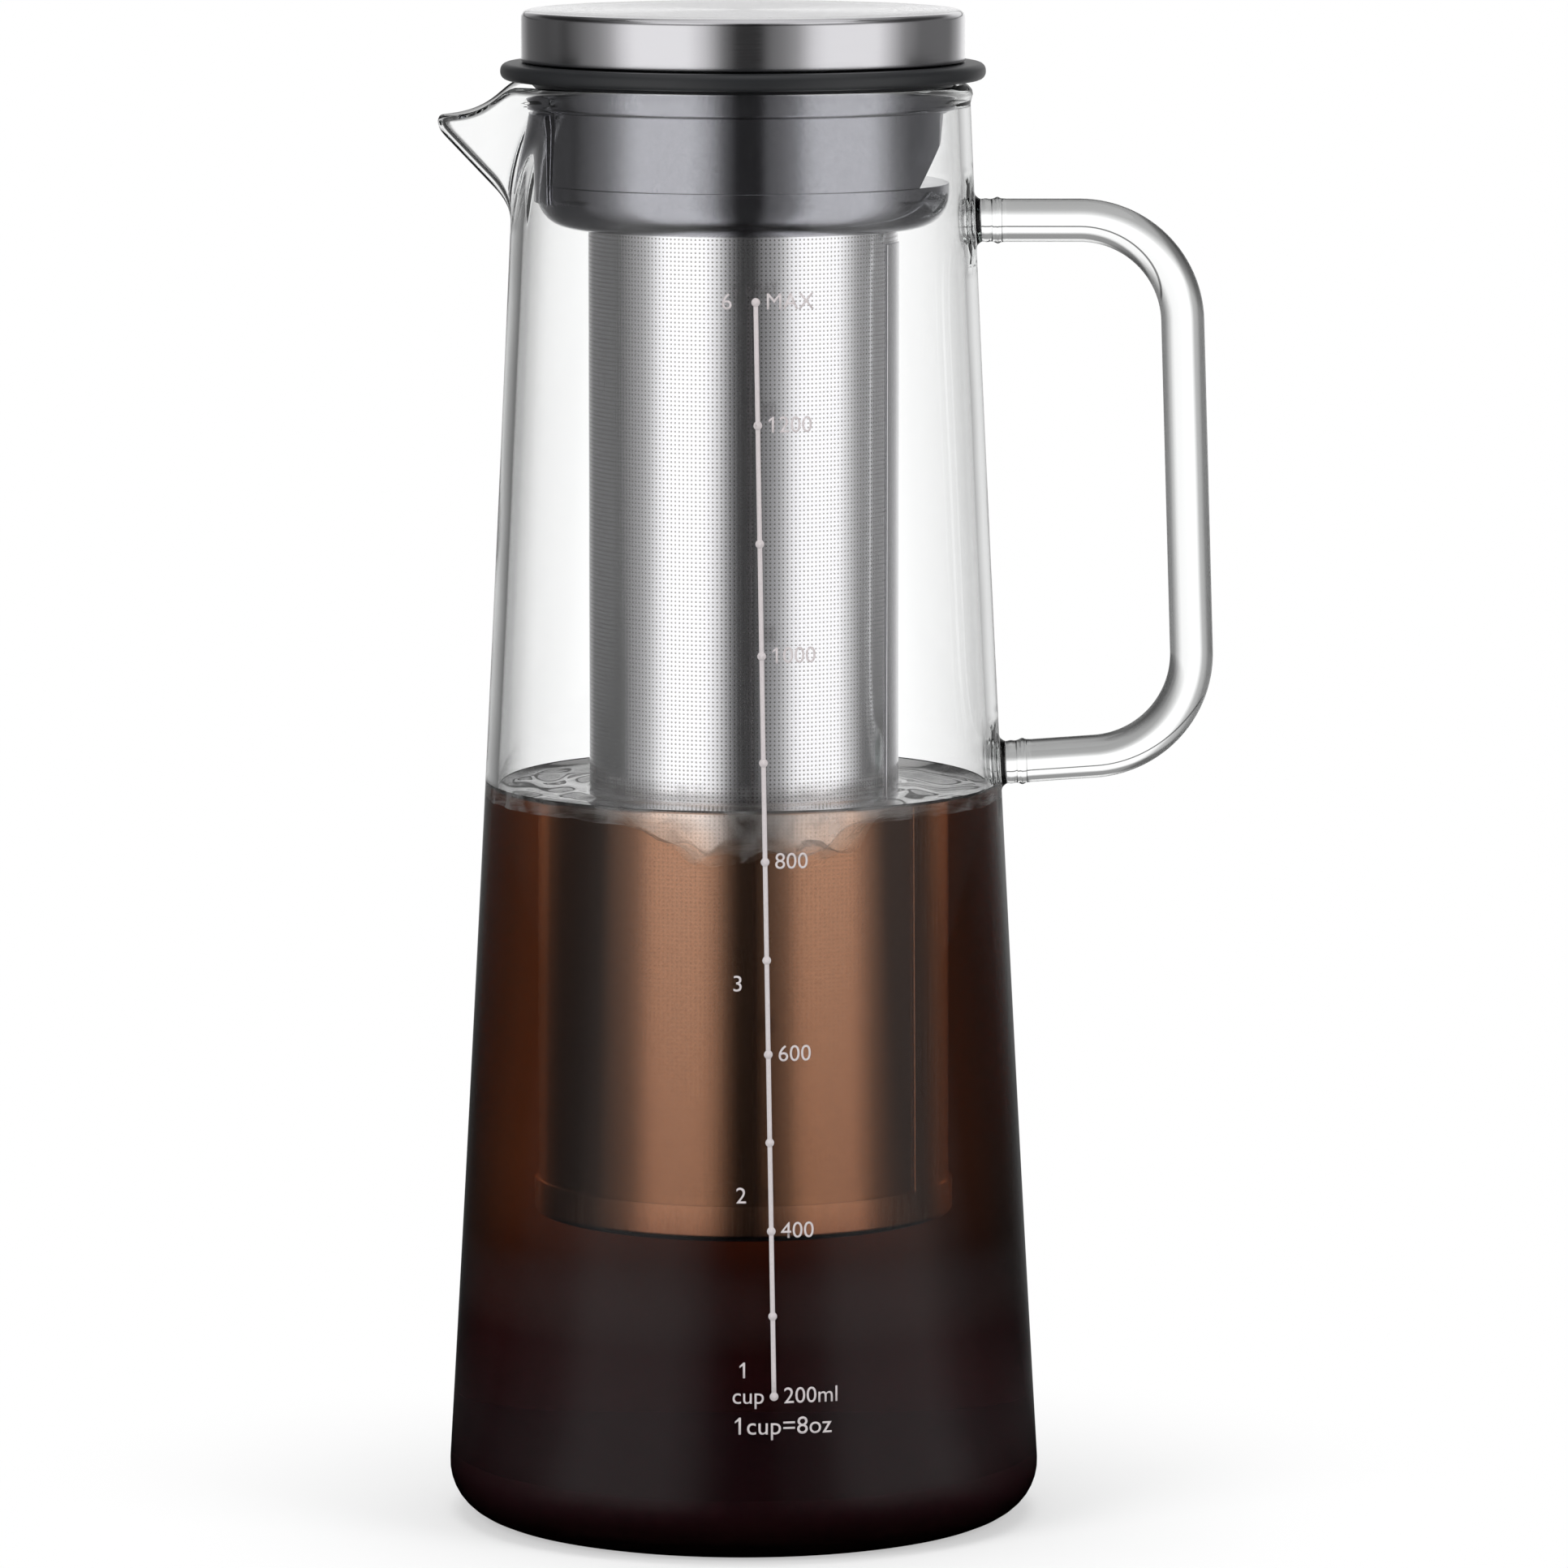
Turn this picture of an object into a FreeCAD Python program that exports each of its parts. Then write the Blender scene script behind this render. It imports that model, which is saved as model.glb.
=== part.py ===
"""Cold brew coffee maker: a glass carafe with a rod handle, a pouring collar in
its neck, a mesh filter hanging in the collar, and a steel-capped lid.

Millimetres, +Z up. The origin is the centre of the flat underside of the carafe,
on the carafe's own axis. The pouring spout points to -X and the handle to +X.
Every piece is a solid in a STEP file of its own in parts/.
"""

import FreeCAD
import Part

import math
import os

V = FreeCAD.Vector
UP = V(0, 0, 1)
ORIGIN = V(0, 0, 0)

# ---------------------------------------------------------------- driving sizes
# Carafe: a blown borosilicate body, outside radii at three heights
GLASS_HEIGHT = 251.2         # to the rim of the mouth
GLASS_BASE_R = 52.3          # where the side would meet the table
GLASS_WAIST_R = 45.6
GLASS_WAIST_Z = 120.0
GLASS_RIM_R = 39.3
GLASS_WALL = 2.2
GLASS_FLOOR = 3.5
GLASS_CORNER = 9.0           # round between the side and the underside

# Pouring spout, pulled out of the rim towards -X
SPOUT_HEIGHT = 21.2          # from the rim down to where its ridge leaves the body
SPOUT_REACH = 13.6           # its nose, beyond the rim of the body
SPOUT_RIDGE_LEAN = 43.6      # degrees between that ridge and the vertical
SPOUT_HALF_ANGLE = 33.0      # degrees, each side of the ridge, seen from above
SPOUT_NOSE_ROUND = 4.5
SPOUT_WALL = 2.6             # measured level, as the ridge leans out
SPOUT_BLEND = 4.0            # outside, where the spout flows into the body
SPOUT_DROOP = 5.5            # how far the lip at the nose lies below the rim
SPOUT_DIP_START = 0.5        # the lip starts to dip this far inside the rim
SPOUT_DIP_OUT = 3.2          # and swings down about this far beyond the rim

# Handle: a bent glass rod welded to the body at two pads
ROD_R = 3.75
ARM_DROP = 23.8              # from the rim to the upper arm
ARM_SPACING = 95.3           # from the upper arm to the foot of the lower one
GRIP_REACH = 36.6            # the grip's upper corner, beyond the rim
GRIP_SPLAY = 2.9             # the grip's lower corner stands this much further out
GRIP_LOW_RISE = 2.7          # the lower arm climbs this much on its way out
BEND_R = 18.0                # centre line of both bends
PAD_R = 6.9
PAD_LENGTH = 6.0
PAD_HOLLOW = 0.9             # how deep the flare of a pad is hollowed
PAD_BEAD_R = 4.9             # the bead of glass round each weld
PAD_BEAD_WIRE = 1.1
PAD_BEAD_OUT = 3.3           # from the body's side to that bead
WELD_ROOT = 6.0              # drawn inside the body, then cut off at its side

# Clearances between pieces
SEAT_GAP = 0.2               # above each seat that carries a piece
MOUTH_GAP = 0.3              # from the mouth in to the bead and to the gasket's cone
GASKET_FIT = 0.1             # round the collar's neck, so that the collar turns
OVER_GAP = 0.3               # from the gasket's top to what lies above it
BORE_GAP = 0.2               # round the filter's base, which passes the bore
RIM_SIDE_GAP = 0.7           # round the filter's rim, in its seat
PLUG_SIDE_GAP = 0.6          # round the lid's plug
RING_GAP = 0.25              # round the lid's sealing ring

# Gasket: a silicone ring with a flange over the rim and a cone that sits in the mouth
FLANGE_OVERHANG = 2.8        # beyond the rim of the glass
FLANGE_RISE = 0.7            # its underside, above the rim
FLANGE_THICK = 2.9
FLANGE_ROUND = 1.36
CONE_DEPTH = 1.5             # the cone narrows by as much as it goes down

# Stopper: the collar that fills the neck, in two pieces
COLLAR_DEPTH = 20.5          # below its bead
COLLAR_BASE_HEIGHT = 7.8     # the lower piece's share of that
COLLAR_CORNER = 6.0
COLLAR_WALL = 2.0
COLLAR_DRAFT = 0.4           # the collar is this much slimmer at its bead
BEAD_PROUD = 1.0             # the bead that centres the collar in the mouth
BEAD_HEIGHT = 3.3
BEAD_ROUND = 1.3
NECK_STEP = 3.4              # from the bead in to the neck, inside the gasket
NECK_WALL = 1.8
COLLAR_RIM_OUT = 1.6         # the rim at the top of the neck
COLLAR_RIM_THICK = 1.2
SEAT_DEPTH = 6.9             # from the collar's top to the filter's seat

# Pouring notch: two flats cut into the side of the collar that faces +X
NOTCH_FOOT_DEPTH = 6.1       # how deep it cuts at its foot, knee and top
NOTCH_KNEE_DEPTH = 2.5
NOTCH_TOP_DEPTH = 1.9
NOTCH_KNEE_HEIGHT = 7.1
NOTCH_BELOW_BEAD = 0.5

# Shutter pad on the other side of the collar, which closes the spout
SHUTTER_HALF_ANGLE = 25.0
SHUTTER_PROUD = 0.5
SHUTTER_ON_BASE = 3.2        # how far it runs down over the lower piece
SHUTTER_BELOW_BEAD = 0.7

# Filter basket
FILTER_LENGTH = 196.8        # below its rim
FILTER_SHEET = 0.4
RIM_WIDTH = 4.0              # how far the rim stands out from the tube
RIM_THICK = 1.0
RIM_ROUND = 0.45
RIM_SKIRT = 6.0              # the part of the rim inside the tube
RIM_SHEET = 0.5
BASE_SKIRT = 6.2
BASE_SHEET = 0.5
BASE_ROUND = 1.2
SEAM_WIDTH = 8.0
SEAM_THICK = 0.35
SEAM_BEARING = -16.0         # degrees from +X, seen from above
SEAM_BELOW_COLLAR = 2.4      # the strip shows up to here

# Lid: a drawn steel cap over a moulded core with a sealing plug
CAP_SETBACK = 3.6            # the cap's side, in from the gasket's edge
CAP_HEIGHT = 8.8
CAP_SHEET = 0.6
CAP_ROUND = 1.3
CORE_WALL = 2.0
PLUG_WALL = 2.4
RING_WIRE_R = 0.85
RING_LIFT = 2.0              # from the foot of the plug to the ring's centre
GROOVE_SIDE = 0.1            # of room above and below the ring

# Help for cutting and fusing
SPARE = 1.0                  # a cut starts this far outside what it cuts
MOUTH_SPARE = 10.0           # drawn above the rim, then cut off with the lip
FAR = 200.0                  # further out than any piece reaches
TOUCH = 0.05                 # a point this near a face lies on it

# --------------------------------------------------- what follows from the sizes
# The stack at the mouth, from the rim of the glass upwards and inwards
MOUTH_R = GLASS_RIM_R - GLASS_WALL
FLANGE_R = GLASS_RIM_R + FLANGE_OVERHANG
FLANGE_LOW_Z = GLASS_HEIGHT + FLANGE_RISE
FLANGE_TOP_Z = FLANGE_LOW_Z + FLANGE_THICK
CONE_TOP_R = MOUTH_R + FLANGE_RISE - MOUTH_GAP
CONE_LOW_R = CONE_TOP_R - CONE_DEPTH
CONE_LOW_Z = FLANGE_LOW_Z - CONE_DEPTH

BEAD_R = MOUTH_R - MOUTH_GAP
BEAD_HIGH_Z = CONE_LOW_Z - SEAT_GAP
BEAD_LOW_Z = BEAD_HIGH_Z - BEAD_HEIGHT
COLLAR_R = BEAD_R - BEAD_PROUD
COLLAR_TOP_R = COLLAR_R - COLLAR_DRAFT
COLLAR_BOTTOM_Z = BEAD_LOW_Z - COLLAR_DEPTH
COLLAR_SPLIT_Z = COLLAR_BOTTOM_Z + COLLAR_BASE_HEIGHT
NECK_R = BEAD_R - NECK_STEP
COLLAR_RIM_LOW_Z = FLANGE_TOP_Z + OVER_GAP
COLLAR_TOP_Z = COLLAR_RIM_LOW_Z + COLLAR_RIM_THICK
SEAT_R = NECK_R - NECK_WALL
SEAT_Z = COLLAR_TOP_Z - SEAT_DEPTH

RIM_R = SEAT_R - RIM_SIDE_GAP
RIM_LOW_Z = SEAT_Z + SEAT_GAP
RIM_TOP_Z = RIM_LOW_Z + RIM_THICK
FILTER_R = RIM_R - RIM_WIDTH
FILTER_BOTTOM_Z = RIM_LOW_Z - FILTER_LENGTH
BASE_R = FILTER_R + BASE_SHEET
BASE_TOP_Z = FILTER_BOTTOM_Z + BASE_SKIRT
COLLAR_BORE_R = BASE_R + BORE_GAP

CAP_R = FLANGE_R - CAP_SETBACK
CAP_LOW_Z = FLANGE_TOP_Z + OVER_GAP
CAP_TOP_Z = CAP_LOW_Z + CAP_HEIGHT
PLUG_R = SEAT_R - PLUG_SIDE_GAP
PLUG_LOW_Z = RIM_TOP_Z + SEAT_GAP
RING_R = SEAT_R - RING_GAP - RING_WIRE_R
RING_Z = PLUG_LOW_Z + RING_LIFT

# Heights on the carafe
SPOUT_ROOT_Z = GLASS_HEIGHT - SPOUT_HEIGHT
SPOUT_LIP_Z = GLASS_HEIGHT - SPOUT_DROOP
SPOUT_NOSE_X = GLASS_RIM_R + SPOUT_REACH
ARM_TOP_Z = GLASS_HEIGHT - ARM_DROP
ARM_LOW_Z = ARM_TOP_Z - ARM_SPACING


# ------------------------------------------------------------------ small tools
def turned(outline):
    """The solid that a closed outline of (radius, height) points turns into."""
    corners = [V(r, 0, z) for r, z in outline]
    wire = Part.makePolygon(corners + corners[:1])
    return Part.Face(wire).revolve(ORIGIN, UP, 360)


def tube(outer, inner, low, high):
    """A plain ring."""
    return turned([(inner, low), (outer, low), (outer, high), (inner, high)])


def circlesAt(solid, radius, height):
    """The edges that are circles about the axis, of this radius at this height."""
    found = []
    for edge in solid.Edges:
        if not isinstance(edge.Curve, Part.Circle):
            continue
        centre = edge.Curve.Center
        if abs(edge.Curve.Radius - radius) < TOUCH and abs(centre.z - height) < TOUCH:
            found.append(edge)
    return found


def rounded(solid, round_r, *circles):
    """The solid with the named circles, as (radius, height), rounded off."""
    edges = []
    for radius, height in circles:
        edges += circlesAt(solid, radius, height)
    return solid.makeFillet(round_r, edges)


def slab(outline):
    """A prism along Y, wider than the object, with a closed outline of (x, z) points."""
    corners = [V(x, -FAR, z) for x, z in outline]
    wire = Part.makePolygon(corners + corners[:1])
    return Part.Face(wire).extrude(V(0, 2 * FAR, 0))


def sector(outer, inner, low, high, bearing, half_angle):
    """A piece of a ring, half_angle degrees to each side of a bearing."""
    corners = [V(inner, 0, low), V(outer, 0, low), V(outer, 0, high), V(inner, 0, high)]
    face = Part.Face(Part.makePolygon(corners + corners[:1]))
    face.rotate(ORIGIN, UP, bearing - half_angle)
    return face.revolve(ORIGIN, UP, 2 * half_angle)


def bezier(*poles):
    """A smooth curve from the first of these points to the last."""
    curve = Part.BezierCurve()
    curve.setPoles(list(poles))
    return curve


# ----------------------------------------------------------------------- carafe
def glassRadius(height):
    """Outside radius of the body, on the parabola through its three stated radii."""
    share = height / GLASS_HEIGHT
    return (
        (1 - share) ** 2 * GLASS_BASE_R
        + 2 * share * (1 - share) * glassPull()
        + share**2 * GLASS_RIM_R
    )


def glassPull():
    """Radius of the parabola's control point, half way up."""
    share = GLASS_WAIST_Z / GLASS_HEIGHT
    ends = (1 - share) ** 2 * GLASS_BASE_R + share**2 * GLASS_RIM_R
    return (GLASS_WAIST_R - ends) / (2 * share * (1 - share))


def vessel(inset, floor, corner):
    """The body's outside as a filled solid, or its inside when inset is the wall."""
    base = V(GLASS_BASE_R - inset, 0, 0)
    pull = V(glassPull() - inset, 0, GLASS_HEIGHT / 2)
    foot = V(glassRadius(floor) - inset, 0, floor)
    rim = V(GLASS_RIM_R - inset, 0, GLASS_HEIGHT)
    above = V(rim.x, 0, GLASS_HEIGHT + MOUTH_SPARE)
    side = bezier(base, pull, rim)
    side.segment(floor / GLASS_HEIGHT, 1)
    edges = [
        Part.makeLine(V(0, 0, floor), foot),
        side.toShape(),
        Part.makeLine(rim, above),
        Part.makeLine(above, V(0, 0, above.z)),
        Part.makeLine(V(0, 0, above.z), V(0, 0, floor)),
    ]
    solid = Part.Face(Part.Wire(edges)).revolve(ORIGIN, UP, 360)
    return rounded(solid, corner, (foot.x, floor))


def spoutWedge(inset):
    """The front of the spout as a filled V-shaped bar that leans out along its ridge."""
    half = math.radians(SPOUT_HALF_ANGLE)
    lean = math.tan(math.radians(SPOUT_RIDGE_LEAN))
    low = SPOUT_ROOT_Z - SPOUT_HEIGHT
    rise = 2 * SPOUT_HEIGHT + MOUTH_SPARE
    nose_r = SPOUT_NOSE_ROUND - inset
    nose_x = glassRadius(SPOUT_ROOT_Z) - lean * SPOUT_HEIGHT - inset
    touch_x = nose_x - nose_r + nose_r * math.sin(half)
    touch_y = nose_r * math.cos(half)
    back_y = touch_y + (GLASS_RIM_R + touch_x) * math.tan(half)
    left = V(GLASS_RIM_R, back_y, low)
    right = V(GLASS_RIM_R, -back_y, low)
    touch_left = V(-touch_x, touch_y, low)
    touch_right = V(-touch_x, -touch_y, low)
    edges = [
        Part.makeLine(left, touch_left),
        Part.Arc(touch_left, V(-nose_x, 0, low), touch_right).toShape(),
        Part.makeLine(touch_right, right),
        Part.makeLine(right, left),
    ]
    wedge = Part.Face(Part.Wire(edges)).extrude(V(-lean * rise, 0, rise))
    front = Part.makeBox(FAR, 2 * FAR, FAR, V(-FAR - GLASS_RIM_R / 2, -FAR, low))
    return wedge.common(front)


def overMouth():
    """Everything above the mouth, above the dipping spout lip and beyond its nose."""
    start = V(SPOUT_DIP_START - GLASS_RIM_R, 0, GLASS_HEIGHT)
    swing = -GLASS_RIM_R - SPOUT_DIP_OUT
    nose = V(-SPOUT_NOSE_X, 0, SPOUT_LIP_Z)
    dip = bezier(
        start,
        V(swing, 0, GLASS_HEIGHT - SPOUT_DIP_START),
        V(swing - SPOUT_DIP_START, 0, SPOUT_LIP_Z),
        nose,
    )
    outline = [
        nose,
        V(-SPOUT_NOSE_X, 0, SPOUT_ROOT_Z),
        V(-FAR, 0, SPOUT_ROOT_Z),
        V(-FAR, 0, GLASS_HEIGHT + 2 * MOUTH_SPARE),
        V(FAR, 0, GLASS_HEIGHT + 2 * MOUTH_SPARE),
        V(FAR, 0, GLASS_HEIGHT),
        start,
    ]
    edges = [dip.toShape()]
    edges += [Part.makeLine(a, b) for a, b in zip(outline, outline[1:])]
    face = Part.Face(Part.Wire(edges))
    face.translate(V(0, -FAR, 0))
    return face.extrude(V(0, 2 * FAR, 0))


def spoutSeams(solid, inset):
    """The edges along which the spout meets the side of the body."""
    found = []
    for edge in solid.Edges:
        middle = edge.valueAt((edge.FirstParameter + edge.LastParameter) / 2)
        off_side = math.hypot(middle.x, middle.y) - glassRadius(middle.z) + inset
        beside_spout = SPOUT_ROOT_Z - SPOUT_WALL < middle.z < GLASS_HEIGHT - SPARE
        if middle.x < 0 and beside_spout and abs(off_side) < TOUCH:
            found.append(edge)
    return found


def vesselWithSpout(inset, spout_inset, floor, corner, blend):
    over = Part.makeBox(2 * FAR, 2 * FAR, FAR, V(-FAR, -FAR, GLASS_HEIGHT))
    solid = vessel(inset, floor, corner).fuse(spoutWedge(spout_inset)).cut(over).removeSplitter()
    return solid.makeFillet(blend, spoutSeams(solid, inset))


def makeCarafe():
    outer = vesselWithSpout(0, 0, 0, GLASS_CORNER, SPOUT_BLEND)
    inner = vesselWithSpout(
        GLASS_WALL, SPOUT_WALL, GLASS_FLOOR, GLASS_CORNER - GLASS_WALL, SPOUT_BLEND + GLASS_WALL
    )
    return outer.cut(inner).cut(overMouth()).removeSplitter()


def rodCorners():
    """The handle's centre line as four points, before its two bends are rounded."""
    grip_x = GLASS_RIM_R + GRIP_REACH
    return [
        V(glassRadius(ARM_TOP_Z) - WELD_ROOT, 0, ARM_TOP_Z),
        V(grip_x, 0, ARM_TOP_Z),
        V(grip_x + GRIP_SPLAY, 0, ARM_LOW_Z + GRIP_LOW_RISE),
        V(glassRadius(ARM_LOW_Z) - WELD_ROOT, 0, ARM_LOW_Z),
    ]


def rodPath():
    """Centre line of the handle, from inside one wall to inside the other."""
    start, top_out, low_out, low_in = rodCorners()
    edges = []
    for corner, after in ((top_out, low_out), (low_out, low_in)):
        before = (start - corner).normalize()
        beyond = (after - corner).normalize()
        half_turn = before.getAngle(beyond) / 2
        reach = BEND_R / math.tan(half_turn)
        centre_way = (before + beyond).normalize()
        bulge = corner + centre_way * (BEND_R / math.sin(half_turn) - BEND_R)
        arc_in = corner + before * reach
        arc_out = corner + beyond * reach
        edges.append(Part.makeLine(start, arc_in))
        edges.append(Part.Arc(arc_in, bulge, arc_out).toShape())
        start = arc_out
    edges.append(Part.makeLine(start, low_in))
    return Part.Wire(edges)


def weldPad(root, way):
    """The flared foot of the rod, with the bead of glass round its waist."""
    way.normalize()
    brink = V(0, 0, PAD_R)
    end = V(PAD_LENGTH, 0, ROD_R)
    flare = (end - brink).normalize()
    via = (brink + end) / 2 + V(flare.z, 0, -flare.x) * PAD_HOLLOW
    edges = [
        Part.makeLine(V(-WELD_ROOT, 0, 0), V(-WELD_ROOT, 0, PAD_R)),
        Part.makeLine(V(-WELD_ROOT, 0, PAD_R), brink),
        Part.Arc(brink, via, end).toShape(),
        Part.makeLine(end, V(PAD_LENGTH, 0, 0)),
        Part.makeLine(V(PAD_LENGTH, 0, 0), V(-WELD_ROOT, 0, 0)),
    ]
    along = V(1, 0, 0)
    pad = Part.Face(Part.Wire(edges)).revolve(ORIGIN, along, 360)
    wire_centre_r = PAD_BEAD_R - PAD_BEAD_WIRE
    bead = Part.makeTorus(wire_centre_r, PAD_BEAD_WIRE, V(PAD_BEAD_OUT, 0, 0), along)
    pad = pad.fuse(bead)
    pad.rotate(ORIGIN, V(0, 1, 0), -math.degrees(math.atan2(way.z, way.x)))
    pad.translate(root + way * (WELD_ROOT / way.x))
    return pad


def makeHandle():
    top_in, top_out, low_out, low_in = rodCorners()
    ring = Part.Wire(Part.Circle(top_in, V(1, 0, 0), ROD_R).toShape())
    rod = rodPath().makePipeShell([ring], True, False)
    handle = rod.fuse(weldPad(top_in, top_out - top_in)).fuse(weldPad(low_in, low_out - low_in))
    return handle.cut(vessel(0, 0, GLASS_CORNER)).removeSplitter()


# ---------------------------------------------------------------------- stopper
def notchSlab(inset):
    """What the pouring notch takes away, or what it takes with a wall behind."""
    low = COLLAR_SPLIT_Z - inset
    high = BEAD_LOW_Z - NOTCH_BELOW_BEAD + inset
    return slab(
        [
            (COLLAR_R - NOTCH_FOOT_DEPTH - inset, low),
            (COLLAR_R - NOTCH_KNEE_DEPTH - inset, COLLAR_SPLIT_Z + NOTCH_KNEE_HEIGHT),
            (COLLAR_R - NOTCH_TOP_DEPTH - inset, high),
            (FAR, high),
            (FAR, low),
        ]
    )


def shutter(low, high):
    return sector(
        COLLAR_R + SHUTTER_PROUD, COLLAR_R - COLLAR_WALL / 2, low, high, 180, SHUTTER_HALF_ANGLE
    )


def makeCollar():
    body = turned(
        [
            (COLLAR_BORE_R, COLLAR_SPLIT_Z),
            (COLLAR_R, COLLAR_SPLIT_Z),
            (COLLAR_TOP_R, BEAD_LOW_Z),
            (BEAD_R, BEAD_LOW_Z),
            (BEAD_R, BEAD_HIGH_Z),
            (NECK_R, BEAD_HIGH_Z),
            (NECK_R, COLLAR_RIM_LOW_Z),
            (NECK_R + COLLAR_RIM_OUT, COLLAR_RIM_LOW_Z),
            (NECK_R + COLLAR_RIM_OUT, COLLAR_TOP_Z),
            (SEAT_R, COLLAR_TOP_Z),
            (SEAT_R, SEAT_Z),
            (COLLAR_BORE_R, SEAT_Z),
        ]
    )
    bead_round = min(BEAD_ROUND, 0.4 * BEAD_HEIGHT, 0.95 * (BEAD_R - COLLAR_TOP_R))
    body = rounded(body, bead_round, (BEAD_R, BEAD_LOW_Z), (BEAD_R, BEAD_HIGH_Z))
    hollow = tube(
        COLLAR_TOP_R - COLLAR_WALL,
        COLLAR_BORE_R + COLLAR_WALL,
        COLLAR_SPLIT_Z - SPARE,
        BEAD_LOW_Z - COLLAR_WALL,
    )
    hollow = hollow.cut(notchSlab(COLLAR_WALL))
    pad = shutter(COLLAR_SPLIT_Z, BEAD_LOW_Z - SHUTTER_BELOW_BEAD)
    return body.fuse(pad).cut(notchSlab(0)).cut(hollow).removeSplitter()


def makeCollarBase():
    shell = tube(COLLAR_R, COLLAR_BORE_R, COLLAR_BOTTOM_Z, COLLAR_SPLIT_Z)
    shell = rounded(shell, COLLAR_CORNER, (COLLAR_R, COLLAR_BOTTOM_Z))
    inner_r = COLLAR_BORE_R + COLLAR_WALL
    outer_r = COLLAR_R - COLLAR_WALL
    floor = COLLAR_BOTTOM_Z + COLLAR_WALL
    hollow = tube(outer_r, inner_r, floor, COLLAR_SPLIT_Z + SPARE)
    corner = min(COLLAR_CORNER - COLLAR_WALL, 0.9 * (outer_r - inner_r))
    hollow = rounded(hollow, corner, (outer_r, floor))
    hollow = hollow.cut(notchSlab(COLLAR_WALL))
    pad = shutter(COLLAR_SPLIT_Z - SHUTTER_ON_BASE, COLLAR_SPLIT_Z)
    return shell.fuse(pad).cut(hollow).removeSplitter()


def makeGasket():
    bore = NECK_R + GASKET_FIT
    ring = turned(
        [
            (bore, CONE_LOW_Z),
            (CONE_LOW_R, CONE_LOW_Z),
            (CONE_TOP_R, FLANGE_LOW_Z),
            (FLANGE_R, FLANGE_LOW_Z),
            (FLANGE_R, FLANGE_TOP_Z),
            (bore, FLANGE_TOP_Z),
        ]
    )
    edge_round = min(FLANGE_ROUND, 0.47 * FLANGE_THICK)
    return rounded(ring, edge_round, (FLANGE_R, FLANGE_LOW_Z), (FLANGE_R, FLANGE_TOP_Z))


# ---------------------------------------------------------------- filter basket
def makeFilterRim():
    inner = FILTER_R - FILTER_SHEET
    skirt_low = RIM_LOW_Z - RIM_SKIRT
    ring = turned(
        [
            (inner - RIM_SHEET, skirt_low),
            (inner, skirt_low),
            (inner, RIM_LOW_Z),
            (RIM_R, RIM_LOW_Z),
            (RIM_R, RIM_TOP_Z),
            (inner - RIM_SHEET, RIM_TOP_Z),
        ]
    )
    edge_round = min(RIM_ROUND, 0.45 * RIM_THICK)
    return rounded(ring, edge_round, (RIM_R, RIM_LOW_Z), (RIM_R, RIM_TOP_Z))


def makeFilterMesh():
    return tube(FILTER_R, FILTER_R - FILTER_SHEET, FILTER_BOTTOM_Z + BASE_SHEET, RIM_LOW_Z)


def makeFilterBase():
    cup = turned(
        [
            (0, FILTER_BOTTOM_Z),
            (BASE_R, FILTER_BOTTOM_Z),
            (BASE_R, BASE_TOP_Z),
            (FILTER_R, BASE_TOP_Z),
            (FILTER_R, FILTER_BOTTOM_Z + BASE_SHEET),
            (0, FILTER_BOTTOM_Z + BASE_SHEET),
        ]
    )
    return rounded(cup, BASE_ROUND, (BASE_R, FILTER_BOTTOM_Z))


def makeSeam():
    half_angle = math.degrees(SEAM_WIDTH / 2 / FILTER_R)
    top = COLLAR_BOTTOM_Z - SEAM_BELOW_COLLAR
    return sector(FILTER_R + SEAM_THICK, FILTER_R, BASE_TOP_Z, top, SEAM_BEARING, half_angle)


# -------------------------------------------------------------------------- lid
def makeCap():
    shell = tube(CAP_R, 0, CAP_LOW_Z, CAP_TOP_Z)
    shell = rounded(shell, CAP_ROUND, (CAP_R, CAP_TOP_Z))
    inner_r = CAP_R - CAP_SHEET
    inner_top = CAP_TOP_Z - CAP_SHEET
    space = tube(inner_r, 0, CAP_LOW_Z - SPARE, inner_top)
    space = rounded(space, CAP_ROUND - CAP_SHEET, (inner_r, inner_top))
    return shell.cut(space)


def makeCore():
    outer = CAP_R - CAP_SHEET
    top = CAP_TOP_Z - CAP_SHEET
    low = CAP_LOW_Z + SEAT_GAP
    web = top - CORE_WALL
    core = turned(
        [
            (0, web),
            (PLUG_R - PLUG_WALL, web),
            (PLUG_R - PLUG_WALL, PLUG_LOW_Z),
            (PLUG_R, PLUG_LOW_Z),
            (PLUG_R, web),
            (outer - CORE_WALL, web),
            (outer - CORE_WALL, low),
            (outer, low),
            (outer, top),
            (0, top),
        ]
    )
    core = rounded(core, CAP_ROUND - CAP_SHEET, (outer, top))
    half_groove = RING_WIRE_R + GROOVE_SIDE
    groove = tube(PLUG_R + SPARE, RING_R - RING_WIRE_R, RING_Z - half_groove, RING_Z + half_groove)
    return core.cut(groove)


def makeLidRing():
    return Part.makeTorus(RING_R, RING_WIRE_R, V(0, 0, RING_Z), UP)


# ----------------------------------------------------------------------- output
pieces = {
    "carafe_body": makeCarafe(),
    "carafe_handle": makeHandle(),
    "sealing_gasket": makeGasket(),
    "pour_collar": makeCollar(),
    "collar_base": makeCollarBase(),
    "filter_rim": makeFilterRim(),
    "filter_mesh": makeFilterMesh(),
    "filter_base": makeFilterBase(),
    "filter_seam_strip": makeSeam(),
    "lid_cap": makeCap(),
    "lid_core": makeCore(),
    "lid_seal_ring": makeLidRing(),
}

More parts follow.
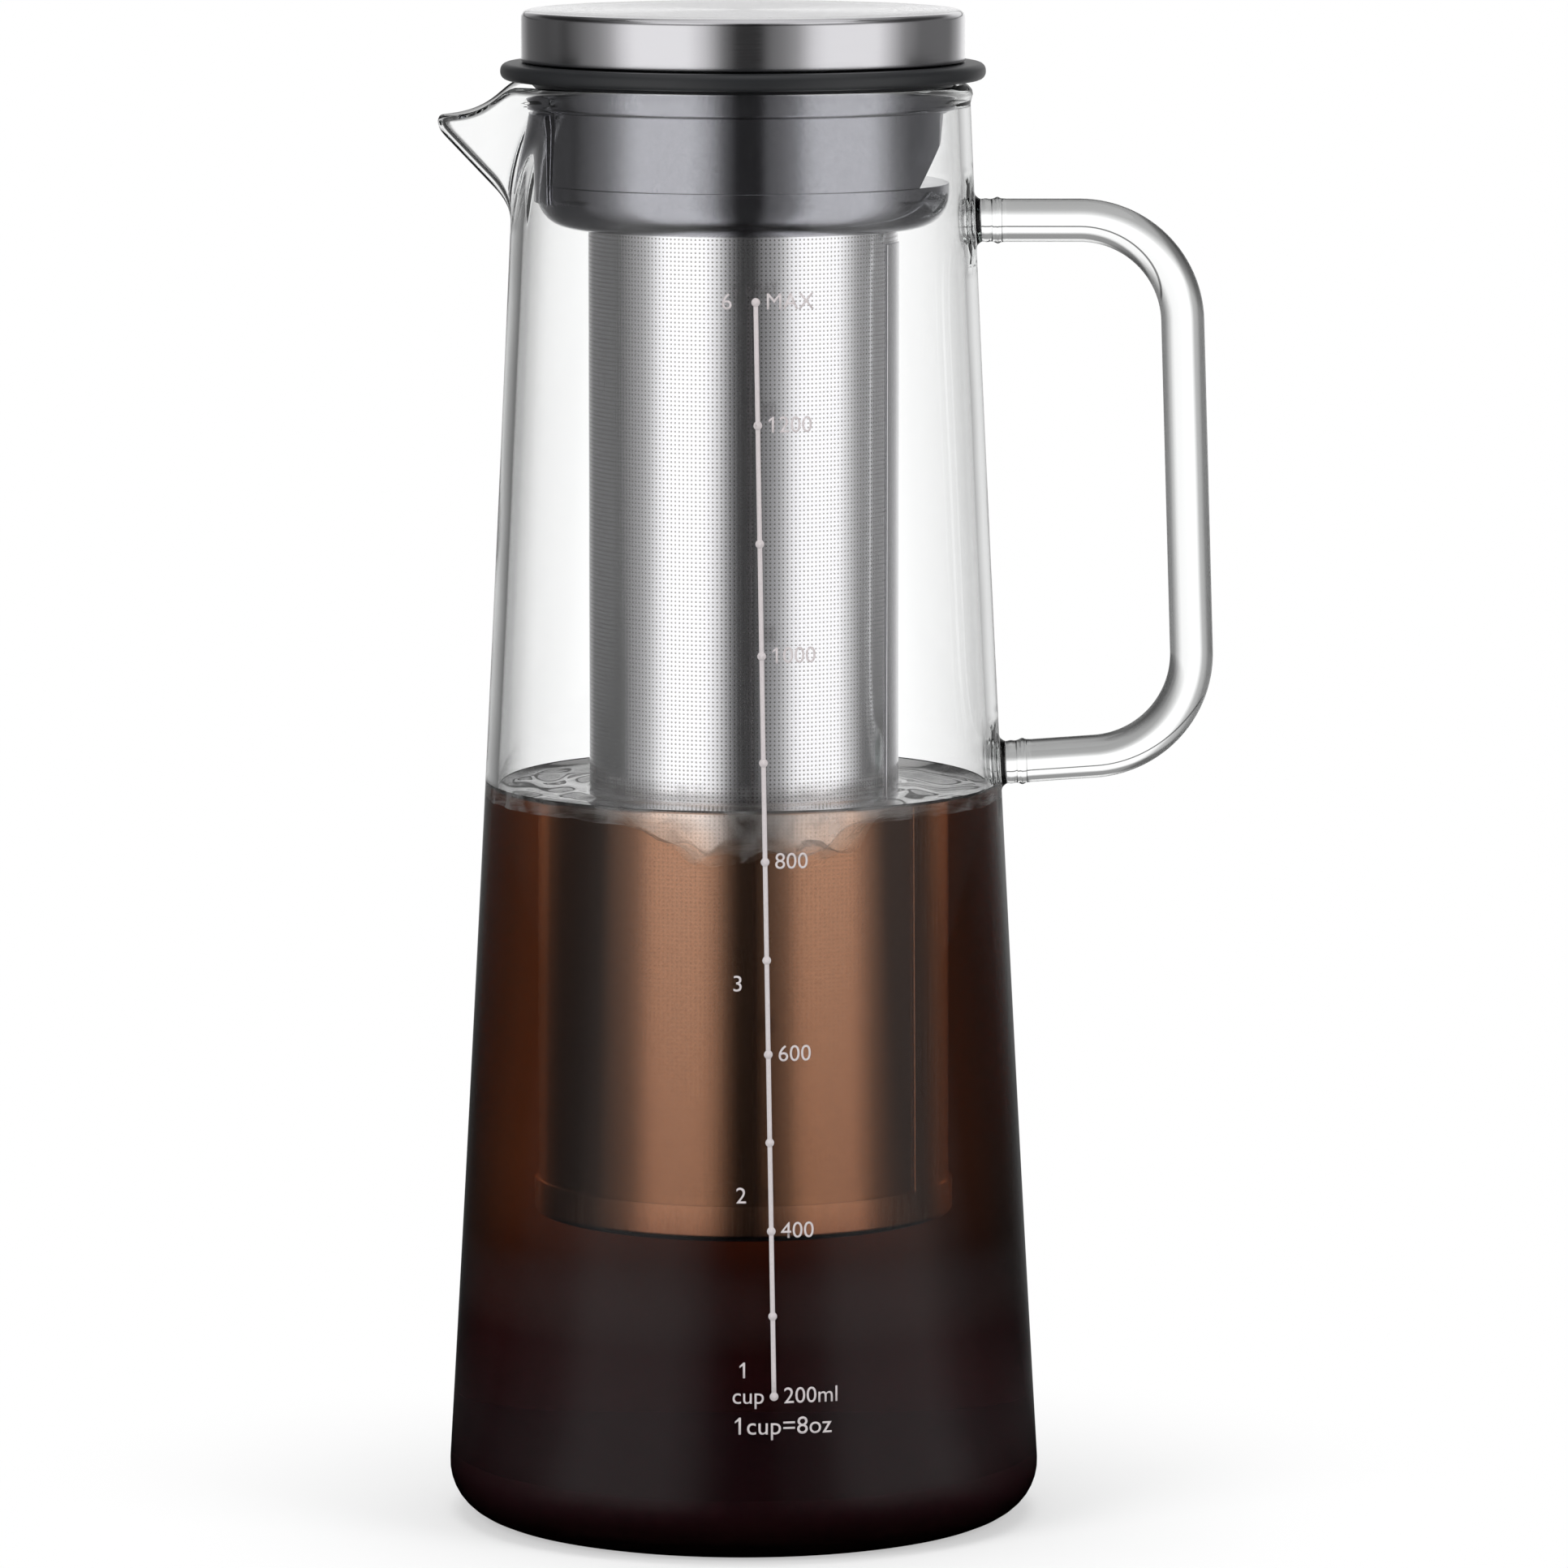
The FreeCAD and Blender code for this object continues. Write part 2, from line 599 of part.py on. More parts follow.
os.makedirs("parts", exist_ok=True)
for name, shape in pieces.items():
    shape.exportStep(f"parts/{name}.step")
    box = shape.BoundBox
    print(
        f"{name:18s} solids {len(shape.Solids)}  valid {shape.isValid()}  {shape.Volume / 1000:7.2f} cm3"
        f"  x {box.XMin:6.1f} {box.XMax:6.1f}  y {box.YMin:6.1f} {box.YMax:6.1f}"
        f"  z {box.ZMin:6.1f} {box.ZMax:6.1f}"
    )
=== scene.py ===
import math

import bmesh
import bpy
from mathutils import Matrix, Vector, noise


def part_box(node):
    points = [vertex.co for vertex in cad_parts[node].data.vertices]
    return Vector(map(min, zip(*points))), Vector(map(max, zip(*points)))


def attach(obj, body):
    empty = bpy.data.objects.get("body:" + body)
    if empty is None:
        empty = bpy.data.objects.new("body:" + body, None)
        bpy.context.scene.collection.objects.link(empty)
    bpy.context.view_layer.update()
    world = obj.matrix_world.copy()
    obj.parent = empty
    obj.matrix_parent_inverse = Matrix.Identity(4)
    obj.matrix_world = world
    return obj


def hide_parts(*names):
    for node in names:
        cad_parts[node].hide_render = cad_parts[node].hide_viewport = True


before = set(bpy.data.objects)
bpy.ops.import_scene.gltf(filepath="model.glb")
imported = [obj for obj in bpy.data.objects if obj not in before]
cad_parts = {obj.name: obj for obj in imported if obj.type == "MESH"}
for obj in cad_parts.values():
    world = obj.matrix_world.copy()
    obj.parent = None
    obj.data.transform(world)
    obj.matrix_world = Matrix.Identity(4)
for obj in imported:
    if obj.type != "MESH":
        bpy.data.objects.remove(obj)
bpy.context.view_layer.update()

mm = 0.001
halvings = 24                 # steps of a search by halves
scene = bpy.context.scene


def linearColour(hexCode):  # sRGB hex to the linear values that Blender's sockets hold
    channels = [int(hexCode[i:i + 2], 16) / 255 for i in (1, 3, 5)]
    linear = [c / 12.92 if c <= 0.04045 else ((c + 0.055) / 1.055) ** 2.4 for c in channels]
    return (*linear, 1.0)


def addNode(tree, kind, inputs=None, **settings):  # inputs are values, hex colours, nodes or output sockets
    node = tree.nodes.new("ShaderNode" + kind)
    for name, value in settings.items():
        setattr(node, name, value)
    for key, value in (inputs or {}).items():
        if isinstance(value, bpy.types.Node):  # a node stands for the first output that is in use
            value = next(socket for socket in value.outputs if socket.enabled)
        if isinstance(value, bpy.types.NodeSocket):
            tree.links.new(value, node.inputs[key])
        else:
            node.inputs[key].default_value = linearColour(value) if isinstance(value, str) else value
    return node


def newMaterial(name):  # with its node tree and the object coordinates that its patterns use
    material = bpy.data.materials.new(name)
    material.use_nodes = True
    tree = material.node_tree
    tree.nodes.clear()
    return material, tree, addNode(tree, "TexCoord").outputs["Object"]


def spinProfile(points, steps, closed=True):  # turns (radius, height) points in millimetres about Z
    bm = bmesh.new()
    verts = [bm.verts.new((r * mm, 0, z * mm)) for r, z in points]
    ends = verts[1:] + verts[:1] if closed else verts[1:]
    edges = [bm.edges.new(pair) for pair in zip(verts, ends)]
    bmesh.ops.spin(
        bm, geom=verts + edges, cent=(0, 0, 0), axis=(0, 0, 1), dvec=(0, 0, 0),
        angle=2 * math.pi, steps=steps, use_merge=True,
    )
    bmesh.ops.remove_doubles(bm, verts=bm.verts[:], dist=1e-6)
    bmesh.ops.recalc_face_normals(bm, faces=bm.faces[:])
    return bm


def ringEdges(bm, radius, height):  # the ring of edges at this radius and height, in millimetres
    def onRing(vert):
        out, up = math.hypot(vert.co.x, vert.co.y) / mm, vert.co.z / mm
        return abs(out - radius) < 0.02 and abs(up - height) < 0.02
    return [e for e in bm.edges if all(onRing(v) for v in e.verts)]


def roundRing(bm, radius, height, amount, segments=4):
    bmesh.ops.bevel(
        bm, geom=ringEdges(bm, radius, height), offset=amount * mm, affect="EDGES",
        segments=segments, profile=0.5, material=-1,
    )


def addPiece(name, bm, material, body, replaced=(), sharpAngle=35):
    mesh = bpy.data.meshes.new(name)
    bm.to_mesh(mesh)
    bm.free()
    mesh.materials.append(material)
    mesh.shade_smooth()
    mesh.set_sharp_from_angle(angle=math.radians(sharpAngle))
    piece = bpy.data.objects.new(name, mesh)
    scene.collection.objects.link(piece)
    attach(piece, body)
    if replaced:
        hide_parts(*replaced)
    return piece


# glass carafe: blown body, spout pulled from the rim, rod handle welded on
glass = {
    "baseRadius": 52.3,       # where the side would meet the table
    "pullRadius": 44.81,      # of the side's parabola, half way up
    "rimRadius": 39.3,
    "height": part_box("carafe_body")[1].z / mm,
    "wall": 2.2,
    "floor": 3.5,
    "corner": 9.0,
    "rimBead": 0.5,           # the fire-polished rim swells outwards by this
    "beadTall": 3.4,
    "columns": 192,
    "rowStep": 4,
    "firstRow": 12.0,         # outside, above the corner's rounding
    "firstRowInside": 14,
    "floorRings": (14, 28, 38),
    "lipSteps": 8,
    "cornerSteps": 10,
}
spout = {
    "rootZ": glass["height"] - 21.2,
    "noseX": 52.9,
    "lean": 43.6,             # degrees from the vertical
    "halfAngle": 33.0,        # degrees each side
    "noseRound": 4.5,
    "wall": 2.6,
    "lipAtNose": 1.3,         # glass left in front of the channel at the lip
    "droop": 5.5,
    "dipStart": 0.5,
    "dipOut": 3.2,
    "blend": 3.0,
    "noseBlend": 1.2,
    "sharpest": 1.0,          # least rounding of the channel's bottom
    "below": 8,               # the wall is plain from this far under the root
    "reach": 1.0,             # and further round than this each side, in radians
    "beadDies": (0.2, 6),     # the rim's bead dies out where the spout stands out this far
}
handle = {
    "rodRadius": 3.75,
    "topZ": glass["height"] - 23.8,
    "lowZ": glass["height"] - 23.8 - 95.3,
    "lowRise": 2.7,
    "topX": 75.9,
    "lowX": 78.8,
    "bend": 18.0,
    "padRadius": 4.9,
    "padLength": 1.2,
    "beadAt": 3.9,
    "beadSwell": 0.35,
    "beadWide": 0.45,
    "ripple": 0.05,           # rings left by turning the weld in the flame
    "rippleStep": 1.5,
    "rippleFades": (6, 4),
    "weldReach": 6,           # the weld is shaped over this distance from the wall, in rings
    "weldRings": 24,
    "firstGap": 0.12,
    "lowWeldRise": 0.4,       # the lower arm slopes up to the grip
    "bendSteps": 28,
    "rowMargin": 12,          # the wall has fine rows this far above and below a weld
    "patchColumns": 26,       # a weld takes the place of this patch of the wall's grid
    "patchRows": 24,
    "rowStep": 0.75,
}

basket = {
    "radius": 26.9,
    "sheet": 0.4,
    "rimRadius": 30.9,
    "rimLow": 249.6,
    "rimThick": 1.0,
    "rimSkirt": 6.0,
    "rimSheet": 0.5,
    "rimRound": 0.42,
    "baseRadius": 27.4,
    "baseSheet": 0.5,
    "bottom": 52.8,
    "baseTop": 59.0,
    "baseRound": 1.2,
    "seamBearing": -16.0,
    "seamWidth": 8.0,
    "seamThick": 0.35,
    "seamTop": 224.0,
    "holePitch": 0.75,        # real holes are finer, at a guess 0.6 mm apart, and wouldn't show
    "holeRadius": 0.17,
    "plainMargin": 1.5,       # of sheet without holes at each end
    "edge": 0.12,
    "seamEdge": 0.1,
    "columns": 160,
    "sheetDarkLow": 60.0,          # the sheet's colour is darker towards the bottom, darkest from here down
    "sheetDarkHigh": 125.0,
}

coffee = {
    "level": 128.3,
    "intoWall": 0.3,          # reaches into the glass, so that no gap of air shows between them
    "meniscus": 1.2,
    "meniscusWide": 4.5,
    "ripple": 0.45,           # the last of the swirl left by pouring
    "swirl": 0.25,            # broad rings that circle the filter at its sides
    "swirlStep": 9.0,
    "climb": 0.35,            # up the filter
    "climbWide": 1.2,
    "parting": 121.0,         # a paler, less steeped layer floats above about this height
    "partingTop": 1.6,        # it thins to this at the sides
    "partingDip": 5.6,        # and reaches this much deeper in front
    "partingWide": [11.0, 21.0],
    "partingWaver": 3.4,
    "density": 76.0,
    "paleDensity": 18.0,
    "bloom": 0.005,           # fine grounds that keep it from being quite black
    "lowCloudShare": 0.18,         # and a larger share low down, which darkens the coffee towards the bottom
    "haze": 0.35,             # and fine bubbles left in the top layer by pouring
    "shadeLayer": 0.2,              # painted shade: a dark layer this thick lies on the floor of the coffee
    "shadeLayerHigh": 11.0,         # and goes up the corner to here
    "murkTo": (24, 52),       # the coffee clears from that larger share between these heights
    "redTo": (56, 36),        # and the red deepens between these
    "rings": 60,
    "columns": 240,
}


def sideRadius(z):  # outside of the body, without the spout
    t = z / glass["height"]
    low, pull, high = glass["baseRadius"], glass["pullRadius"], glass["rimRadius"]
    return (1 - t) ** 2 * low + 2 * t * (1 - t) * pull + t * t * high


def smoothStep(low, high, value):
    t = min(max((value - low) / (high - low), 0), 1)  # runs down where low is the larger
    return t * t * (3 - 2 * t)


def softMax(a, b, k):  # the larger, with a fillet of about k where they cross
    h = max(k - abs(a - b), 0) / k
    return max(a, b) + h * h * k / 4


def heightRows(*spans):  # rows of the wall from (end height, row step) pairs, above the base's corner
    rows = [glass["firstRow"]]
    for end, step in spans:
        count = max(1, round((end - rows[-1]) / step))
        start = rows[-1]
        rows += [start + (end - start) * (i + 1) / count for i in range(count)]
    return rows


def crowdedAngle(u):  # columns crowd together at the spout and the handle
    return u - 0.275 * math.sin(2 * u)


def spoutRadius(angle, z, inset, noseInset):  # wedge surface along a ray at this angle from -X
    half = math.radians(spout["halfAngle"])
    noseRound = max(spout["noseRound"] - inset, spout["sharpest"])
    ridge = sideRadius(spout["rootZ"]) + math.tan(math.radians(spout["lean"])) * (z - spout["rootZ"]) - inset
    centre = ridge - noseRound
    a = abs(angle)
    flat = (centre * math.sin(half) + noseRound) / math.sin(min(half + a, math.pi / 2))
    reach = flat
    under = noseRound ** 2 - (centre * math.sin(a)) ** 2
    if centre > 0 and under > 0:
        arc = centre * math.cos(a) + math.sqrt(under)
        if arc * math.sin(a) < noseRound * math.cos(half):
            reach = arc
    limit = (spout["noseX"] - noseInset) / math.cos(a)
    return -softMax(-reach, -limit, spout["noseBlend"])


def wallRadius(angle, z, inward):  # inward is 0 on the outside of the wall and 1 on its inside
    side = sideRadius(z)
    if z < spout["rootZ"] - spout["below"] or abs(angle) > spout["reach"]:
        return side - glass["wall"] * inward
    outer = softMax(side, spoutRadius(angle, z, 0, 0), spout["blend"])
    inner = softMax(
        side - glass["wall"], spoutRadius(angle, z, spout["wall"], spout["lipAtNose"]),
        spout["blend"] + glass["wall"],
    )
    return outer + (inner - outer) * inward


def bezierPoint(poles, t):
    a, b, c, d = poles
    return a * (1 - t) ** 3 + b * 3 * t * (1 - t) ** 2 + c * 3 * t * t * (1 - t) + d * t ** 3


def lipHeight(x):  # height of the pouring lip at this distance out from the axis
    rim = glass["height"]
    lip = rim - spout["droop"]
    start = glass["rimRadius"] - spout["dipStart"]
    swing = glass["rimRadius"] + spout["dipOut"]
    if x <= start:
        return rim
    poles = [Vector((start, rim)), Vector((swing, rim - spout["dipStart"])),
             Vector((swing + spout["dipStart"], lip)), Vector((spout["noseX"], lip))]
    low, high = 0.0, 1.0
    for _ in range(halvings):
        middle = (low + high) / 2
        if bezierPoint(poles, middle).x < x:
            low = middle
        else:
            high = middle
    return bezierPoint(poles, low).y


def columnTop(angle, inward):  # height at which this column of the wall meets the lip
    low, high = spout["rootZ"], glass["height"]
    for _ in range(halvings):
        middle = (low + high) / 2
        if middle < lipHeight(wallRadius(angle, middle, inward) * math.cos(angle)):
            low = middle
        else:
            high = middle
    return high


def rimSwell(drop):  # the bead of the fire-polished rim, this far below its top
    tall = glass["beadTall"]
    return glass["rimBead"] * math.sin(math.pi * min(max(drop, 0), tall) / tall) ** 2


def shapeMouth(bm):  # pulls the spout out of the plain wall and swells the rim
    floorZ = spout["rootZ"] - spout["below"]
    tops = {}
    for v in bm.verts:
        z = v.co.z / mm
        if z < floorZ:
            continue
        angle = math.atan2(v.co.y, -v.co.x)
        radius = math.hypot(v.co.x, v.co.y) / mm
        inward = (sideRadius(z) - radius) / glass["wall"]
        top = glass["height"]
        if abs(angle) < spout["reach"]:
            key = round(angle, 5), round(inward, 3)
            if key not in tops:
                tops[key] = columnTop(angle, inward)
            top = tops[key]
        share = (z - floorZ) / (glass["height"] - floorZ)
        newZ = floorZ + (top - floorZ) * share
        newRadius = wallRadius(angle, newZ, inward)
        plain = 1 - smoothStep(*spout["beadDies"], newRadius - sideRadius(newZ))
        newRadius += rimSwell(top - newZ) * max(0, 1 - 2 * inward) * plain
        v.co = Vector((-newRadius * math.cos(angle), newRadius * math.sin(angle), newZ)) * mm


def bodyProfile():
    wall, floor, rim = glass["wall"], glass["floor"], glass["height"]
    lipRound, near = wall / 2, handle["rowMargin"]
    rows = heightRows(
        (handle["lowZ"] - near, glass["rowStep"]), (handle["lowZ"] + near, handle["rowStep"]),
        (handle["topZ"] - near, glass["rowStep"]), (rim - lipRound, handle["rowStep"]),
    )
    outer = [(sideRadius(z), z) for z in rows]
    centre, lip = sideRadius(rim) - lipRound, []
    for i in range(1, glass["lipSteps"]):
        turn = math.pi * i / glass["lipSteps"]
        lip.append((centre + lipRound * math.cos(turn), rim - lipRound + lipRound * math.sin(turn)))
    inner = [(sideRadius(z) - wall, z) for z in reversed(rows)]
    low = glass["firstRowInside"]
    inner[-1] = (sideRadius(low) - wall, low)
    rings = glass["floorRings"]
    base = [(r, 0) for r in (0, *rings, sideRadius(0))]
    inside = [(r, floor) for r in (sideRadius(floor) - wall, *reversed(rings), 0)]
    return base + outer + lip + inner + inside


def roundBase(bm):
    for radius, height, corner in (
        (sideRadius(0), 0, glass["corner"]),
        (sideRadius(glass["floor"]) - glass["wall"], glass["floor"], glass["corner"] - glass["wall"]),
    ):
        roundRing(bm, radius, height, corner * 1.05, glass["cornerSteps"])


def crowdColumns(bm):
    for v in bm.verts:
        radius = math.hypot(v.co.x, v.co.y)
        if radius > 1e-6:
            angle = crowdedAngle(math.atan2(v.co.y, v.co.x))
            v.co.x, v.co.y = radius * math.cos(angle), radius * math.sin(angle)


def patchFaces(bm, centreZ):  # outer faces round +X where a weld goes
    width = handle["patchColumns"] * math.pi / glass["columns"]
    tall = handle["patchRows"] / 2 * handle["rowStep"] + 0.05
    found = []
    for face in bm.faces:
        c = face.calc_center_median() / mm
        radius = math.hypot(c.x, c.y)
        inPatch = abs(math.atan2(c.y, c.x)) < width and abs(c.z - centreZ) < tall
        if inPatch and abs(radius - sideRadius(c.z)) < 0.3:
            found.append(face)
    return found


def padSection(gap):  # radius of the flared weld, this far from the wall
    near = min(gap / handle["padLength"], 1)
    flare = (handle["padRadius"] - handle["rodRadius"]) * (1 - math.sqrt(1 - (1 - near) ** 2))
    bead = handle["beadSwell"] * math.exp(-((gap - handle["beadAt"]) / handle["beadWide"]) ** 2)
    rings = handle["ripple"] * math.sin(2 * math.pi * gap / handle["rippleStep"])
    rings *= smoothStep(*handle["rippleFades"], gap)
    return handle["rodRadius"] + flare + bead + rings


def shapeWeldRing(verts, gap, weldZ, slope):  # a ring of the weld follows the wall close to it
    fade = smoothStep(0, handle["weldReach"], gap)
    for v in verts:
        turn = math.atan2(v.co.z / mm - weldZ - slope * (v.co.x / mm - sideRadius(weldZ)), v.co.y / mm)
        y = padSection(gap) * math.cos(turn)
        z = weldZ + slope * gap + padSection(gap) * math.sin(turn)
        x = gap + fade * sideRadius(weldZ) + (1 - fade) * math.sqrt(sideRadius(z) ** 2 - y * y)
        v.co = Vector((x, y, z)) * mm


def extrudeRing(bm, ring, move=Vector()):
    grown = bmesh.ops.extrude_edge_only(bm, edges=ring)["geom"]
    verts = [g for g in grown if isinstance(g, bmesh.types.BMVert)]
    bmesh.ops.translate(bm, verts=verts, vec=move)
    new = set(verts)
    return [g for g in grown if isinstance(g, bmesh.types.BMEdge) and all(v in new for v in g.verts)], verts


def sweepBend(bm, ring, centre, degrees, steps):  # turns a ring of the rod round a bend's centre
    swept = bmesh.ops.spin(
        bm, geom=ring + list({v for e in ring for v in e.verts}), cent=centre * mm, axis=(0, 1, 0),
        dvec=(0, 0, 0), angle=math.radians(degrees), steps=steps, use_merge=False,
    )["geom_last"]
    return [g for g in swept if isinstance(g, bmesh.types.BMEdge)]


def addHandle(bm, weldTopZ, weldLowZ):
    sides = 2 * (handle["patchColumns"] + handle["patchRows"])
    reach, count = handle["weldReach"], handle["weldRings"]
    lowX = sideRadius(handle["lowZ"]) - reach
    slope = handle["lowRise"] / (handle["lowX"] - lowX)
    gaps = [handle["firstGap"]] + [reach * i / count for i in range(1, count + 1)]
    upright = Matrix.Rotation(math.pi / 2, 4, "Y")
    place = Matrix.Translation(Vector((sideRadius(weldTopZ), 0, weldTopZ)) * mm)
    start = bmesh.ops.create_circle(
        bm, segments=sides, radius=handle["rodRadius"] * mm, matrix=place @ upright,
    )
    ring = list({e for v in start["verts"] for e in v.link_edges})
    topEnd = ring
    shapeWeldRing(start["verts"], 0, weldTopZ, 0)
    for gap in gaps:
        ring, verts = extrudeRing(bm, ring)
        shapeWeldRing(verts, gap, weldTopZ, 0)

    corners = [Vector((0, 0, weldTopZ)), Vector((handle["topX"], 0, weldTopZ)),
               Vector((handle["lowX"], 0, handle["lowZ"] + handle["lowRise"])),
               Vector((lowX, 0, handle["lowZ"]))]
    at = Vector((sideRadius(weldTopZ) + gaps[-1], 0, weldTopZ))
    for before, corner, after in zip(corners, corners[1:], corners[2:]):
        into, out = (corner - before).normalized(), (after - corner).normalized()
        turn = into.angle(out)
        tangent = handle["bend"] * math.tan(turn / 2)
        ring, _ = extrudeRing(bm, ring, (corner - into * tangent - at) * mm)
        inwards = (out - into).normalized()
        centre = corner + inwards * (handle["bend"] / math.cos(turn / 2))
        ring = sweepBend(bm, ring, centre, math.degrees(turn), handle["bendSteps"])
        at = corner + out * tangent
    lowStart = Vector((sideRadius(weldLowZ) + gaps[-1], 0, weldLowZ + slope * gaps[-1]))
    ring, verts = extrudeRing(bm, ring, (lowStart - at) * mm)
    shapeWeldRing(verts, gaps[-1], weldLowZ, slope)
    for gap in reversed([0] + gaps[:-1]):
        ring, verts = extrudeRing(bm, ring)
        shapeWeldRing(verts, gap, weldLowZ, slope)
    return topEnd, ring


def makeGlass():
    bm = spinProfile(bodyProfile(), glass["columns"], closed=False)
    weldTopZ = handle["topZ"]
    weldLowZ = handle["lowZ"] + handle["lowWeldRise"]
    patches = [patchFaces(bm, weldTopZ), patchFaces(bm, handle["lowZ"])]
    roundBase(bm)
    crowdColumns(bm)
    shapeMouth(bm)
    holes = []
    for faces in patches:
        inPatch, edges = set(faces), {e for f in faces for e in f.edges}
        holes.append([e for e in edges if not all(f in inPatch for f in e.link_faces)])
    bmesh.ops.delete(bm, geom=patches[0] + patches[1], context="FACES")
    ends = addHandle(bm, weldTopZ, weldLowZ)
    for hole, end in zip(holes, ends):
        bmesh.ops.bridge_loops(bm, edges=hole + list(end))
    bmesh.ops.recalc_face_normals(bm, faces=bm.faces[:])
    wet = bm.verts.layers.float.new("wet")  # 1 where coffee lies against the inside of the wall
    for v in bm.verts:
        z = v.co.z / mm
        inside = math.hypot(v.co.x, v.co.y) / mm < sideRadius(z) - glass["wall"] * 0.6
        v[wet] = 1.0 if inside and glass["floor"] - 0.5 < z < coffee["level"] else 0.0
    return bm


borosilicate, tree, point = newMaterial("borosilicateGlassBlown")
# blown and fire-polished: clear, faintly wavy, a trace of grey-green where it is seen edge on
wave = addNode(tree, "TexNoise", {
    "Vector": point,
    "Scale": 1 / 0.028,       # the wall wavers over about 28 mm
    "Detail": 1.0,
})
waveBump = addNode(tree, "Bump", {"Height": wave, "Strength": 1.0, "Distance": 0.00006})
glassWet = addNode(tree, "Attribute", attribute_name="wet")
glassMirror = addNode(tree, "Mix", {  # wet glass hardly reflects, as coffee bends light nearly as it does
    "Factor": glassWet.outputs["Fac"], "A": "#FFFFFF", "B": "#000000",
}, data_type="RGBA")
glassShader = addNode(tree, "BsdfPrincipled", {
    "Base Color": "#FFFFFF", "Roughness": 0.0, "IOR": 1.474, "Transmission Weight": 1.0,
    "Specular Tint": glassMirror,
    "Normal": waveBump,
})
glassTint = addNode(tree, "VolumeAbsorption", {"Color": "#D5E3DE", "Density": 9.0})
addNode(tree, "OutputMaterial", {"Surface": glassShader, "Volume": glassTint})

addPiece(
    "carafeGlass", makeGlass(), borosilicate, "carafe",
    ("carafe_body", "carafe_handle"), sharpAngle=70,
)
print("glass carafe done")


def partingHeight(x, y):  # smoky border between the layers, in mm
    flat = Vector((x, y, 0.0)) * 0.09
    drift = noise.noise(flat * 0.7 + Vector((0, 0, 9.1)))
    fold = 0.8 * noise.noise(Vector((flat.x * 1.9 + drift, flat.y - drift, 4.4)))
    fold += 0.3 * noise.noise(flat * 3.3)
    inner, outer = coffee["partingWide"]
    deep = smoothStep(outer, inner, abs(x - 1.5 + 5 * drift)) * smoothStep(8, -22, y)
    waver = (0.2 + 0.8 * deep) * coffee["partingWaver"] * fold
    return coffee["level"] - coffee["partingTop"] - coffee["partingDip"] * deep + waver


def disturbSurface(v, out, edgeRadius):  # swirls, and a climb up the filter
    point = v.co / mm * 0.075
    bearing = math.atan2(v.co.y, v.co.x)
    atSides = abs(math.cos(bearing))
    drift = noise.noise(Vector((point.x * 0.6, point.y * 0.6, 7.7))) * 1.6
    waver = noise.noise(Vector((point.x + drift, point.y * 1.5 - drift, 3.1)))
    rise = coffee["ripple"] * (0.1 + 0.9 * atSides) * waver
    ring = math.sin(2 * math.pi * out / coffee["swirlStep"] + 2 * bearing + drift)
    rise += coffee["swirl"] * ring * smoothStep(27.5, 30, out) * smoothStep(0.45, 0.9, atSides)
    v.co.z += rise * mm * smoothStep(edgeRadius, edgeRadius - 4, out)
    if out > basket["radius"]:
        v.co.z += coffee["climb"] * mm * math.exp(-(out - basket["radius"]) / coffee["climbWide"])


def layParting(bm, drop=0.0):  # shapes the border and marks it, as light passes it straight
    flat, top = coffee["parting"], coffee["level"] + coffee["meniscus"]
    inset = glass["wall"] - coffee["intoWall"]
    flatEdge = sideRadius(flat) - inset
    between = set()
    for v in bm.verts:
        x, y, z = v.co / mm
        onBorder = abs(z - flat) < 0.01
        if z < flat - 0.01 or z > top + 0.01:
            continue
        if not onBorder and math.hypot(x, y) < sideRadius(z) - inset - 0.05:
            continue
        border = partingHeight(x, y) - drop
        if onBorder:
            between.add(v)
            pull = (sideRadius(border) - inset) / flatEdge
            v.co = Vector((x * pull, y * pull, border)) * mm
        else:  # the rows of the wall between border and surface close up
            height = border + (z - flat) / (top - flat) * (top - border)
            pull = (sideRadius(height) - inset) / math.hypot(x, y)
            v.co = Vector((x * pull, y * pull, height)) * mm
    layer = bm.faces.layers.float.new("parting")
    for face in bm.faces:
        face[layer] = 1.0 if all(v in between for v in face.verts) else 0.0


def coffeeSide(low, high, count):
    inset = glass["wall"] - coffee["intoWall"]
    heights = [low + (high - low) * i / count for i in range(count + 1)]
    return [(sideRadius(z) - inset, z) for z in heights]


def partingRings():
    count = coffee["rings"]
    edge = coffeeSide(coffee["parting"], coffee["parting"], 1)[0][0]
    return [(edge * (1 - i / count), coffee["parting"]) for i in range(1, count + 1)]


def makeCoffee():
    inset = glass["wall"] - coffee["intoWall"]
    low = glass["floor"] - coffee["intoWall"]
    profile = [(0, low), (20, low), (sideRadius(low) - inset, low)]
    profile += coffeeSide(14, 115, 18) + coffeeSide(coffee["parting"], coffee["parting"], 1)[:1]
    bm = spinProfile(profile + partingRings(), coffee["columns"], closed=False)
    roundRing(bm, sideRadius(low) - inset, low, 7.3, 8)
    layParting(bm)
    return bm


def makePaleCoffee():
    top, wide, rise = coffee["level"], coffee["meniscusWide"], coffee["meniscus"]
    profile = list(reversed(partingRings())) + coffeeSide(coffee["parting"], top + rise, 5)
    edgeRadius = profile[-1][0]
    for i in range(1, 17):  # the meniscus falls away from the wall
        profile.append((edgeRadius - wide * i / 16, top + rise * (1 - i / 16) ** 2.2))
    count = 72
    profile += [((edgeRadius - wide) * (1 - (i + 1) / count), top) for i in range(count)]
    bm = spinProfile(profile, coffee["columns"], closed=False)
    for v in bm.verts:
        out = math.hypot(v.co.x, v.co.y) / mm
        if v.co.z > (top - 0.05) * mm and out < edgeRadius - 0.5:
            disturbSurface(v, out, edgeRadius)
    layParting(bm, 0.02)
    return bm
